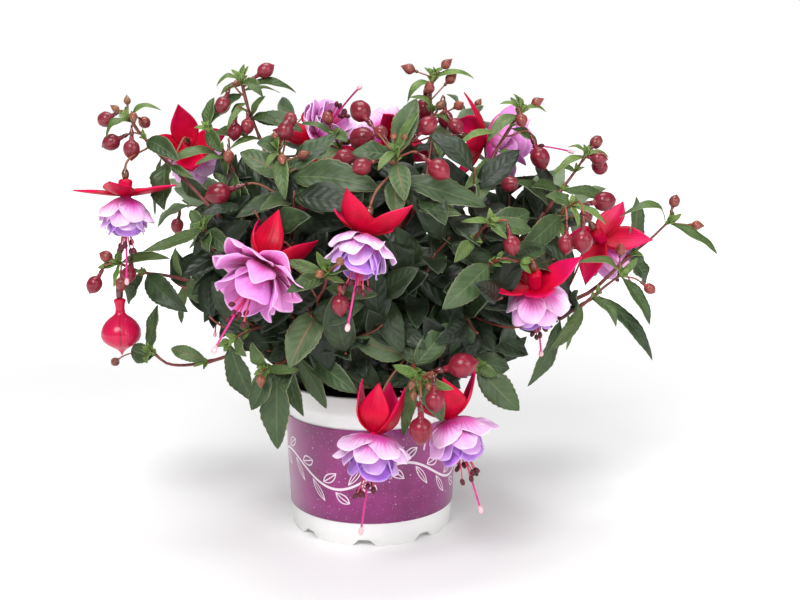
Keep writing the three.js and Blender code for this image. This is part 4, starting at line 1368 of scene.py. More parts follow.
BUD_FORMS = {
    Stage.YOUNG: BudForm(
        case=((-0.15, 0), (-0.1, 0.16), (0.1, 0.3), (0.3, 0.32), (0.5, 0.22), (0.55, 0)),
        body=((0.42, 0), (0.45, 0.24), (0.65, 0.42), (0.95, 0.76), (1.3, 0.97), (1.7, 1.0), (2.1, 0.86),
              (2.5, 0.6), (2.85, 0.34), (3.15, 0.14), (3.35, 0)),
        tube=0.7, pedicel=0.5),
    Stage.PLUMP: BudForm(
        case=((-0.12, 0), (-0.1, 0.12), (0.35, 0.13), (0.6, 0.23), (0.86, 0.28), (1.08, 0.25), (1.2, 0.16),
              (1.24, 0)),
        body=((1.1, 0), (1.13, 0.2), (1.24, 0.28), (1.44, 0.27), (1.6, 0.32), (1.72, 0.48), (1.86, 0.68),
              (2.04, 0.85), (2.28, 0.96), (2.58, 1.0), (2.88, 0.99), (3.16, 0.91), (3.42, 0.75), (3.62, 0.56),
              (3.78, 0.35), (3.92, 0.16), (4.02, 0.05), (4.07, 0))),
    Stage.RIPE: BudForm(
        case=((-0.02, 0), (0.0, 0.1), (0.15, 0.16), (0.4, 0.19), (0.66, 0.17), (0.78, 0.13), (0.82, 0)),
        body=((0.74, 0), (0.76, 0.22), (0.8, 0.29), (0.88, 0.31), (0.95, 0.29), (1.08, 0.25), (1.3, 0.24),
              (1.5, 0.26), (1.62, 0.36), (1.78, 0.58), (1.98, 0.79), (2.2, 0.94), (2.45, 1.03), (2.7, 1.03),
              (2.92, 0.93), (3.12, 0.72), (3.28, 0.46), (3.4, 0.25), (3.55, 0.1), (3.7, 0.03), (3.75, 0)),
        sides=28, lobes=0.03),
}


@dataclass
class Bud:
    """A closed bud on its pedicel."""

    base: Vector
    middle: Vector
    radius: float
    droop: float
    ripe_from: float = 9.0
    plump_from: float = 6.0
    young_to: float = 3.6
    olive_to: float = 4.6
    olive_fade: float = 2.2
    root: float = 0.6

    @property
    def stage(self) -> Stage:
        """How far the bud has come, by its size."""
        if self.radius > self.ripe_from:
            return Stage.RIPE
        return Stage.YOUNG if self.radius < self.young_to else Stage.PLUMP

    def marks(self, draw: random.Random) -> Marks:
        """Picks what the bud's finish reads. Big closed buds are dark, and small ones turn olive.

        Args:
            draw: the source of its small differences.

        Returns:
            The bud's marks.
        """
        tone = draw.uniform(0.4, 1) if self.radius < self.plump_from else draw.uniform(0, 0.25)
        youth = min(max((self.olive_to - self.radius) / self.olive_fade, 0), 1) * draw.uniform(0.6, 1)
        return Marks(tone=tone, youth=youth, pink=1.0 if self.stage is Stage.RIPE else draw.uniform(0, 0.16))

    def grow(self, piece: Piece, draw: random.Random) -> None:
        """Adds the pedicel, the seed case, and the bud with its tube.

        Args:
            piece: the mesh that it goes into.
            draw: the source of its small differences.
        """
        radius, form = self.radius, BUD_FORMS[self.stage]
        aim = (self.middle - self.base).normalized()
        axis = aim.lerp(DOWN, self.droop).normalized()
        tube = form.tube * radius
        neck = self.middle - axis * (radius + tube)
        marks = self.marks(draw)
        path = cubic_path(self.base, aim.lerp(UP, 0.4 * self.droop).normalized(), neck, axis)
        thick = form.pedicel
        rings = [(0, 0), (0, thick * 1.5), (0.06, thick), *[(i / 8, thick) for i in range(1, 8)]]
        rings += [(1, thick * 1.15), (1, 0)]
        piece.rod(path, rings, 6, Finish.STEM, Marks(tone=marks.tone, youth=0.7))
        line = Path([neck - axis * self.root, neck + axis * (tube + radius * 3)])

        def scaled(rows: Rings) -> Rings:
            """The rings as shares of the line and millimetres."""
            return [((far * radius + self.root) / line.length, width * radius) for far, width in rows]

        piece.rod(line, scaled(form.case), 10, Finish.OVARY, marks)
        piece.rod(line, scaled(form.body), form.sides, Finish.BUD, marks, lobes=form.lobes)


def packed_points(name: str) -> kdtree.KDTree:
    """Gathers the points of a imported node.

    Args:
        name: the node's name.

    Returns:
        Its points in millimetres, ready to be searched.
    """
    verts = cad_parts[name].data.vertices
    found = kdtree.KDTree(len(verts))
    for i, vert in enumerate(verts):
        found.insert(vert.co / MM, i)
    found.balance()
    return found


@dataclass
class Shoot:
    """A leafy stem with its buds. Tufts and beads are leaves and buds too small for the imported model."""

    name: str
    fork: int
    stem: Sequence[Spot]
    leaves: Sequence[LeafRow] = ()
    buds: Sequence[BudRow] = ()
    tufts: Sequence[LeafRow] = ()
    beads: Sequence[BudRow] = ()
    pairs: int = 0
    leaf_length: float = 0.0
    thick: tuple[float, float] = (1.3, 0.75)
    knot: float = 1.35
    rings: int = 16
    small_leaf: float = 8.0
    packed_tip: float = 1.2
    young_width: float = 11.0
    young_fade: float = 7.0

    def path(self) -> Path:
        """The stem's middle line."""
        return smooth_path([Vector(point) for point in self.stem])

    def start_direction(self) -> Vector:
        """The way the stem leaves its twig."""
        return (Vector(self.stem[1]) - Vector(self.stem[0])).normalized()

    def paired_leaves(self, path: Path) -> list[LeafRow]:
        """Sets out the leaves of a shoot at the back: pairs along the stem, each turned square to the last.

        Args:
            path: the stem's middle line.

        Returns:
            Their rows in millimetres.
        """
        rows = []
        for i in range(self.pairs):
            share = (i + 1) / self.pairs
            point, ahead = path.at(share), path.direction(share)
            level = square_to((point - PLANT_MIDDLE).normalized(), ahead)
            side = ahead.cross(level)
            length = self.leaf_length * (1 - 0.35 * share)
            turn = math.pi / 2 * (i % 2) + 0.5
            for sign in (-1, 1):
                out = side * (sign * math.cos(turn)) + level * (sign * math.sin(turn))
                tip = point + (out + ahead * 0.7 + DOWN * 0.25).normalized() * length
                rows.append(LeafRow(share, *tip, length * 0.42, 4, 0.6))
        return rows

    def build(self, palette: Palette, blooms: Sequence["Bloom"], seed: int) -> None:
        """Builds the shoot.

        Args:
            palette: where its finishes come from.
            blooms: the blooms that hang from it.
            seed: the seed of its small differences.
        """
        draw = random.Random(seed)
        path = self.path()
        piece = Piece(self.name + "_leafy", palette)
        self.stalk(piece, path, Marks(tone=draw.random(), youth=0.15))
        packed = packed_points(self.name)
        for row in (*self.leaves, *self.paired_leaves(path), *self.tufts):
            leaf = Leaf(path.at(min(row.along, 1)), Vector(row[1:4]), row.width, row.arch, row.facing)
            near = [tip for tip in leaf.tips() if packed.find(tip)[2] < self.packed_tip]
            if near:
                leaf.tip = near[0]
            if row.width < self.small_leaf:
                leaf.rows, leaf.columns, leaf.thickness = 12, 4, 0.3
            youth = min(max((self.young_width - row.width) / self.young_fade, 0), 1)
            youth = youth * draw.uniform(0.35, 1) * (0.4 + 0.6 * row.along)
            # A mark below 0.3 darkens the leaf with painted shade.
            leaf.grow(piece, Marks(tone=draw.uniform(0.12, 0.95), youth=youth), draw)
        self.sprout(piece, path, draw)
        for row in (*self.buds, *self.beads):
            Bud(path.at(min(row.along, 1)), Vector(row[1:4]), row.radius, row.droop).grow(piece, draw)
        for bloom in blooms:
            bloom.pedicel(piece, path.at(bloom.along))
        piece.finished("leaf", self.name)

    def stalk(self, piece: Piece, path: Path, marks: Marks) -> None:
        """Adds the stem, thicker where leaves grow from it.

        Args:
            piece: the shoot's mesh.
            path: the stem's middle line.
            marks: what its finish reads.
        """
        low, high = self.thick
        knots = {round(row.along * self.rings) for row in self.leaves}
        places = range(self.rings + 1)
        radii = [(low + (high - low) * i / self.rings) * (self.knot if i in knots else 1.0) for i in places]
        rings = [(i / self.rings, radius) for i, radius in zip(places, radii, strict=True)]
        piece.rod(path, [(0, 0), *rings, (1, 0)], 8, Finish.STEM, marks)

    def sprout(self, piece: Piece, path: Path, draw: random.Random) -> None:
        """Adds the small young leaves at the tip and in the corners between leaves and stem.

        Args:
            piece: the shoot's mesh.
            path: the stem's middle line.
            draw: the source of their small differences.
        """
        corners = sorted({min(row.along, 0.97) for row in self.leaves})[-3:]
        for share, count, length in ((1.0, 5, 8.5), *[(corner, 3, 7.5) for corner in corners]):
            base, ahead = path.at(share), path.direction(share)
            level = square_to(UP, ahead)
            start = draw.uniform(0, math.tau)
            for i in range(count):
                turn = start + math.tau * i / count
                out = level * math.cos(turn) + ahead.cross(level) * math.sin(turn)
                aim = (ahead + out * draw.uniform(0.5, 1.3)).normalized()
                tip = base + aim * length * draw.uniform(0.6, 1.15)
                leaf = Leaf(base, tip, (tip - base).length * 0.4, 1.2, 0.5, 2, 7, 0.25)
                # A mark below 0.3 darkens the leaf with painted shade.
                leaf.grow(piece, Marks(tone=draw.random(), youth=draw.uniform(0.6, 1)), draw)


def seen_shoot(name: str, fork: int, stem: Sequence[Spot], leaves: Sequence[tuple[float, ...]] = (),
               tufts: Sequence[tuple[float, ...]] = (), buds: Sequence[tuple[float, ...]] = (),
               beads: Sequence[tuple[float, ...]] = ()) -> Shoot:
    """Lays out a shoot that the photo shows.

    Args:
        name: its node's name.
        fork: the number of the fork that carries it.
        stem: the pixels and depths that its stem passes through.
        leaves: rows of SeenLeaf.
        tufts: rows of SeenLeaf that only the scene has.
        buds: rows of SeenBud.
        beads: rows of SeenBud that only the scene has.

    Returns:
        The shoot, in millimetres.
    """
    return Shoot(name, fork, [PHOTO.place(*point) for point in stem],
                 leaves=[PHOTO.leaf(SeenLeaf(*row)) for row in leaves],
                 tufts=[PHOTO.leaf(SeenLeaf(*row)) for row in tufts],
                 buds=[PHOTO.bud(SeenBud(*row)) for row in buds],
                 beads=[PHOTO.bud(SeenBud(*row)) for row in beads])


def hidden_shoot(name: str, fork: int, stem: Sequence[Spot], buds: Sequence[tuple[float, ...]], pairs: int,
                 leaf_length: float) -> Shoot:
    """Lays out a shoot at the back, in millimetres.

    Args:
        name: its node's name.
        fork: the number of the fork that carries it.
        stem: the points that its stem passes through.
        buds: its buds as rows of BudRow.
        pairs: how many leaf pairs it has.
        leaf_length: its longest leaf's length.

    Returns:
        The shoot.
    """
    return Shoot(name, fork, stem, buds=[BudRow(*row) for row in buds], pairs=pairs, leaf_length=leaf_length)


# Blooms


@dataclass(frozen=True)
class PetalLayer:
    """A ring of petals. The inner ones lean out less and are more violet."""

    count: int
    start: float
    spread: float
    length: float
    width: float
    inner: float
    uneven: float


PETAL_LAYERS = (
    PetalLayer(count=5, start=0.0, spread=1.0, length=22.5, width=17.0, inner=0.0, uneven=1.0),
    PetalLayer(count=5, start=0.5, spread=0.82, length=23.5, width=16.0, inner=0.1, uneven=-1.0),
    PetalLayer(count=5, start=0.25, spread=0.55, length=23.5, width=14.0, inner=0.5, uneven=0.9),
    PetalLayer(count=4, start=0.1, spread=0.3, length=25.0, width=21.0, inner=1.0, uneven=0.6),
)


@dataclass
class Bloom:
    """An open bloom: seed case and tube, four sepals, petals in layers, stamens and a long style."""

    name: str
    shoot: str
    along: float
    top: Spot
    mouth: Spot
    spin: float
    lift: float
    flare: float
    size: float
    pink: float
    violet: float
    sepal_length: float = 31.0
    sepal_width: float = 17.0
    sepal_start: tuple[float, float] = (-0.7, 2.4)
    petal_start: tuple[float, float] = (-0.3, 1.8)
    style_length: float = 54.0
    sepal_uneven: tuple[float, ...] = (0, 6, -4, 3)
    petal_uneven: tuple[float, ...] = (0, 5, -3, 6, -5)

    def __post_init__(self) -> None:
        """Works out the bloom's own directions."""
        self.start, self.end = Vector(self.top), Vector(self.mouth)
        self.axis = (self.end - self.start).normalized()
        self.side = square_to(Vector((1, 0.2, 0.1)), self.axis)

    def outward(self, degrees: float) -> Vector:
        """The way out at a turn round the bloom."""
        turn = math.radians(degrees)
        return self.side * math.cos(turn) + self.axis.cross(self.side) * math.sin(turn)

    def pedicel(self, piece: Piece, base: Vector) -> None:
        """Adds the bloom's pedicel.

        Args:
            piece: the shoot's mesh.
            base: where it leaves the stem.
        """
        end = self.start + self.axis * 0.4
        path = cubic_path(base, (end - base).normalized(), end, self.axis)
        rings = [(i / 14, 0.6 + 0.2 * i / 14) for i in range(15)]
        piece.rod(path, [(0, 0), (0, 1.0), *rings, (1, 0)], 7, Finish.STEM, Marks(youth=0.6))

    def blade(self, turn: float, start: tuple[float, float], angles: Sequence[float], length: float,
              outline: Callable[[float], float],
              bend: Callable[[float, float], tuple[float, float]]) -> Place:
        """A sepal's or petal's shape.

        Args:
            turn: its place round the bloom, in degrees.
            start: how far ahead of the mouth and how far out it starts.
            angles: its direction from straight ahead at its start, middle and end, in degrees.
            length: its length.
            outline: the half width at a share of its length.
            bend: for the places across and along, how far it rises towards its inner face, and how much
                of its length is left there.

        Returns:
            The place of each point.
        """
        outward = self.outward(turn)
        across = outward.cross(self.axis)
        rows = 40
        line = [self.end + self.axis * start[0] + outward * start[1]]
        looks = []
        for i in range(rows + 1):
            share = i / rows
            half = 0 if share < 0.5 else 1
            low, high = angles[half:half + 2]
            angle = math.radians(low + (high - low) * (share * 2 - half))
            ahead = self.axis * math.cos(angle) + outward * math.sin(angle)
            looks.append(self.axis * math.sin(angle) - outward * math.cos(angle))
            line.append(line[-1] + ahead * (length / rows))
        path = Path(line[:-1])

        def place(side: float, share: float) -> Vector:
            """Finds a point of the blade.

            Args:
                side: its place across.
                share: its place along.

            Returns:
                The point.
            """
            s = (side - 0.5) * 2
            rise, left = bend(s, share)
            point = path.at(min(share * left, 1.0))
            face = looks[min(round(share * left * rows), rows)]
            return point + across * (s * outline(share)) + face * rise

        return place

    def build(self, palette: Palette, seed: int) -> None:
        """Builds the calyx and the corolla.

        Args:
            palette: where their finishes come from.
            seed: the seed of their small differences.
        """
        draw = random.Random(seed)
        self.calyx(Piece(self.name + "_sepals", palette), draw)
        self.corolla(Piece(self.name + "_petals", palette), draw)

    def calyx(self, piece: Piece, draw: random.Random) -> None:
        """Adds the seed case, the tube and the four sepals.

        Args:
            piece: the mesh that they go into.
            draw: the source of their small differences.
        """
        size, length = self.size, (self.end - self.start).length
        case = length * 0.38
        line = Path([self.start, self.end + self.axis * 4])
        marks = Marks(tone=draw.random(), youth=draw.uniform(0, 0.5))

        def ring(rows: Rings) -> Rings:
            """The rings of a turned form: their places on the line and their radii."""
            return [(far / line.length, radius * size) for far, radius in rows]

        rings = ring([(0, 0), (0.1, 0.9), (case * 0.25, 1.9), (case * 0.5, 2.4), (case * 0.75, 2.2),
                      (case, 1.5), (case + 0.3, 0)])
        piece.rod(line, rings, 14, Finish.OVARY, marks)
        rings = ring([(case - 0.4, 0), (case - 0.3, 1.7), (case, 3.2), (case + 0.6, 4.1), (case + 1.5, 4.5),
                      (case + 2.8, 4.3), (case * 0.4 + length * 0.6, 3.8), (length - 1.5, 3.8),
                      (length - 0.3, 3.5), (length + 0.2, 2.6), (length + 0.4, 0)])
        piece.rod(line, rings, 20, Finish.SEPAL_OUTSIDE, marks, lobes=0.05)
        width = self.sepal_width * size
        for i, uneven in enumerate(self.sepal_uneven):
            lift = self.lift + uneven + draw.uniform(-8, 8)
            curl, twist = draw.uniform(0.16, 0.3), draw.uniform(-0.12, 0.12)

            def outline(share: float) -> float:
                """The sepal's half width."""
                belly = 0.44 + 0.7 * math.sin(math.pi * share ** 0.85) ** 0.9
                return width * 0.5 * belly * (1 - share ** 3.4) ** 0.85

            def bend(s: float, share: float, curl: float = curl, twist: float = twist) -> tuple[float, float]:
                """The sepal's hollow back and its light twist."""
                return outline(share) * (-curl * s * s + twist * s * share), 1.0

            turn = self.spin + 90 * i + draw.uniform(-6, 6)
            angles = (90 + lift * 0.3, 90 + lift, 90 + lift * 1.16)
            place = self.blade(turn, self.sepal_start, angles, self.sepal_length * size, outline, bend)
            tone = Marks(tone=draw.random())
            piece.sheet(place, 8, 18, Finish.SEPAL_INSIDE, tone, 0.9, Finish.SEPAL_OUTSIDE)
        piece.finished("calyx", self.name + "_calyx")

    def corolla(self, piece: Piece, draw: random.Random) -> None:
        """Adds the petals in their layers, the stamens and the style.

        Args:
            piece: the mesh that they go into.
            draw: the source of their small differences.
        """
        scale = self.size * (1 + 0.3 * max(0.0, self.pink - 0.5))
        for layer in PETAL_LAYERS:
            for i in range(layer.count):
                turn = self.spin + 45 + 360 * (i + layer.start) / layer.count
                lean = self.flare * layer.spread + self.petal_uneven[i] * layer.uneven
                self.petal(piece, turn, lean, layer.length * scale, layer.width * scale, layer.inner, draw)
        self.stamens(piece, draw)
        piece.finished("corolla", self.name + "_corolla")

    def petal(self, piece: Piece, turn: float, lean: float, length: float, width: float, inner: float,
              draw: random.Random) -> None:
        """Adds one ruffled petal.

        Args:
            piece: the mesh that it goes into.
            turn: its place round the bloom, in degrees.
            lean: how far it leans out, in degrees.
            length: its length.
            width: its widest width.
            inner: 0 for an outer petal, 1 for an innermost one.
            draw: the source of its small differences.
        """
        waves, phase = draw.uniform(2.6, 4.6), draw.uniform(0, math.tau)
        frill = draw.uniform(0.9, 1.7) * (1 + 2.2 * max(0.0, self.pink - 0.5))
        cup = draw.uniform(0.14, 0.34)
        flip = draw.uniform(-0.1, 0.16)

        def outline(share: float) -> float:
            """The petal's half width."""
            return width * (0.09 + 0.42 * math.sin(min(share * 1.18, 1.14) * math.pi / 2) ** 1.35)

        def bend(s: float, share: float) -> tuple[float, float]:
            """Bends the petal: its cup, its frilled end and its rounded corners.

            Args:
                s: the place across, from -1 to 1.
                share: the place along.

            Returns:
                The rise, and how much of the length is left there.
            """
            rise = outline(share) * cup * s * s + frill * share ** 2.5 * math.sin(s * waves + phase)
            rise += 0.7 * share * math.sin(share * 6 + phase) - flip * length * max(0, share - 0.7) * 2
            return rise, 1 - 0.3 * s ** 4 - 0.06 * s * s

        marks = Marks(tone=draw.random(), pink=min(1.0, self.pink + draw.uniform(-0.06, 0.1)),
                      violet=min(1.0, max(0.0, self.violet * inner + draw.uniform(-0.05, 0.15))))
        angles = (min(lean * 1.8, 95.0), lean * 1.05, lean * (0.3 + lean / 180))
        place = self.blade(turn, self.petal_start, angles, length, outline, bend)
        piece.sheet(place, 12, 14, Finish.PETAL, marks, 0.3)

    def stamens(self, piece: Piece, draw: random.Random) -> None:
        """Adds eight filaments with their anthers, and the style with its stigma.

        Args:
            piece: the mesh that they go into.
            draw: the source of their small differences.
        """
        for i in range(8):
            out = self.outward(45 * i + draw.uniform(-14, 14))
            start = self.end + self.axis * 0.6 + out * 1.2
            reach = draw.uniform(24, 32) * self.size
            end = start + self.axis * reach + out * draw.uniform(1, 6) + DOWN * 1.5
            path = cubic_path(start, self.axis, end, (self.axis + out * 0.3).normalized())
            rings = [(k / 8, 0.42) for k in range(8)]
            piece.rod(path, [(0, 0), *rings, (1, 0.32), (1, 0)], 5, Finish.FILAMENT, Marks())
            tilt = (path.direction(1.0) + out * draw.uniform(-0.5, 0.9)).normalized()
            bag = Path([end - tilt * 2.0, end + tilt * 2.4])
            rings = [(0, 0), (0.08, 0.85), (0.35, 1.4), (0.65, 1.4), (0.92, 0.85), (1, 0)]
            piece.rod(bag, rings, 8, Finish.ANTHER, Marks(tone=draw.random()))
        length = self.style_length * self.size
        tip = self.end + self.axis * length
        path = cubic_path(self.end + self.axis * 0.5, self.axis, tip, (self.axis + DOWN * 0.12).normalized())
        rings = [(k / 16, 0.62) for k in range(2, 15)]
        rings = [(0, 0), (0, 1.0), (0.08, 0.7), *rings, (0.93, 0.7), (0.95, 0)]
        piece.rod(path, rings, 8, Finish.STYLE, Marks())
        rings = [(0.915, 0), (0.92, 0.8), (0.94, 1.35), (0.97, 1.55), (0.99, 1.2), (1, 0.6), (1, 0)]
        piece.rod(path, rings, 10, Finish.STIGMA, Marks())


# Branches and the leaves inside


@dataclass
class Branches:
    """The woody crown, its eight branches, and a twig to each shoot."""

    crown_foot: float = 74.3
    branch_start: float = 90.5

    def branch(self, fork: Vector) -> Path:
        """Draws a branch.

        Args:
            fork: where it ends.

        Returns:
            Its middle line.
        """
        start = Vector((fork.x * 0.13, fork.y * 0.13, self.branch_start))
        lean = Vector((fork.x * 0.003, fork.y * 0.003, 1)).normalized()
        end = (Vector((fork.x, fork.y, 0)).normalized() * 0.6 + UP).normalized()
        return cubic_path(start, lean, fork, end)

    def twig(self, shoot: Shoot) -> Path:
        """Draws the twig that carries a shoot.

        Args:
            shoot: the shoot.

        Returns:
            Its middle line.
        """
        fork, first = FORKS[shoot.fork], Vector(shoot.stem[0])
        ahead = shoot.start_direction()
        return cubic_path(fork, (first - fork).normalized(), first - ahead * GAP, ahead)

    def build(self, palette: Palette, shoots: Sequence[Shoot]) -> None:
        """Builds the crown, the branches and the twigs.

        Args:
            palette: where their finishes come from.
            shoots: the shoots that the twigs carry.
        """
        piece = Piece("branches_and_twigs", palette)
        line = Path([Vector((0, 0, self.crown_foot)), Vector((0, 0, 98))])
        rows = [(0, 0), (0, 11.6), (0.02, 12), (0.6, 12), (0.68, 11.2), (0.8, 9.8), (0.88, 9.4), (0.95, 6),
                (1, 0)]
        piece.rod(line, rows, 20, Finish.BARK, Marks(), lobes=0.04)
        for fork in FORKS:
            rings = [(i / 14, 3.2 - 1.2 * i / 14 + 0.2 * math.sin(i * 1.9)) for i in range(15)]
            piece.rod(self.branch(fork), [(0, 0), *rings, (1, 0)], 9, Finish.BARK, Marks())
        for shoot in shoots:
            rings = [(i / 12, 1.75 - 0.4 * i / 12) for i in range(13)]
            piece.rod(self.twig(shoot), [(0, 0), *rings, (1, 0)], 8, Finish.STEM, Marks(youth=0.1))
        piece.finished("wood", "woody_branches")


@dataclass
class InnerLeaves:
    """The leaves inside the dome, painted dark as shade: pairs along each twig and on short side shoots, clear
    of the pot.
    """

    sprigs: int = 17
    pairs: int = 4
    length: tuple[float, float] = (30.0, 44.0)
    shortest: float = 12.0
    dome: Spot = (138.0, 130.0, 100.0)
    dome_middle: Spot = (8.0, 2.0, 186.0)
    bottom: float = 84.0
    rim_height: float = 106.0
    rim_radius: float = 72.0
    seed: int = 11

    def inside(self, point: Vector) -> bool:
        """Says whether a point is inside the dome and clear of the pot."""
        far = sum(((a - b) / c) ** 2 for a, b, c in zip(point, self.dome_middle, self.dome, strict=True))
        clear = point.z > self.rim_height or math.hypot(point.x, point.y) > self.rim_radius
        return far < 1 and clear and point.z > self.bottom

    def dress(self, piece: Piece, path: Path, first: float, pairs: int, draw: random.Random) -> None:
        """Adds leaf pairs along a path, each turned square to the last.

        Args:
            piece: the mesh that they go into.
            path: the twig that carries them.
            first: the share of the path where they begin.
            pairs: how many pairs there are.
            draw: the source of their small differences.
        """
        start = draw.uniform(0, math.pi)
        for i in range(pairs):
            share = first + (1 - first) * (i + 0.7) / pairs
            base, ahead = path.at(share), path.direction(share)
            level = square_to(UP, ahead)
            side = ahead.cross(level)
            for k in range(2):
                turn = start + i * math.pi / 2 + k * math.pi
                out = side * math.cos(turn) + level * math.sin(turn)
                length = draw.uniform(*self.length)
                tip = base + (out + ahead * 0.55 + DOWN * draw.uniform(0.05, 0.5)).normalized() * length
                if self.inside(tip) and self.inside(base.lerp(tip, 0.5)):
                    width, facing = length * draw.uniform(0.38, 0.46), draw.uniform(0.5, 0.8)
                    leaf = Leaf(base, tip, width, 3.5, facing, columns=4, rows=10, thickness=0.3)
                    # The low mark paints these leaves near black: painted shade inside the dome.
                    leaf.grow(piece, Marks(tone=draw.uniform(0, 0.22)), draw)

    def build(self, palette: Palette, branches: Branches, shoots: Sequence[Shoot]) -> None:
        """Builds a piece of leaves round each fork.

        Args:
            palette: where their finishes come from.
            branches: the branches that carry them.
            shoots: the shoots whose twigs carry them.
        """
        draw = random.Random(self.seed)
        for number, fork in enumerate(FORKS):
            piece = Piece(f"inner_leaves_{number + 1}", palette)
            twigs = [branches.twig(shoot) for shoot in shoots if shoot.fork == number]
            carriers = twigs + [branches.branch(fork)]
            for twig in twigs:
                self.dress(piece, twig, 0.1, self.pairs, draw)
            for i in range(self.sprigs):
                low = i % 3 == 0
                carrier = carriers[-1] if low else carriers[i % len(carriers)]
                self.sprig(piece, carrier, Vector((fork.x, fork.y, 0)).normalized(), low, draw)
            piece.finished("leaf")

    def sprig(self, piece: Piece, carrier: Path, outward: Vector, low: bool, draw: random.Random) -> None:
        """Adds a short side shoot with its leaves.

        Args:
            piece: the mesh that it goes into.
            carrier: the branch or twig that it grows from.
            outward: the way from the plant's middle to the fork.
            low: whether it grows low down and straight out.
            draw: the source of its small differences.
        """
        base = carrier.at(draw.uniform(0.25, 0.6) if low else draw.uniform(0.45, 0.95))
        out = outward * (1.2 if low else draw.uniform(0.1, 1))
        rise = draw.uniform(-0.1, 0.25) if low else draw.uniform(-0.2, 0.8)
        stray = Vector([draw.uniform(-1, 1) for _ in range(3)]) * (0.6 if low else 1)
        aim = (out + stray + UP * rise).normalized()
        end = base + aim * draw.uniform(36, 66)
        while not self.inside(end) and (end - base).length > self.shortest:
            end = base.lerp(end, 0.8)
        path = cubic_path(base, aim, end, (aim + UP * 0.4).normalized())
        rings = [(k / 8, 1.0 - 0.4 * k / 8) for k in range(9)]
        piece.rod(path, [(0, 0), *rings, (1, 0)], 5, Finish.STEM, Marks(youth=0.3))
        self.dress(piece, path, 0.15, 3, draw)


# Layout

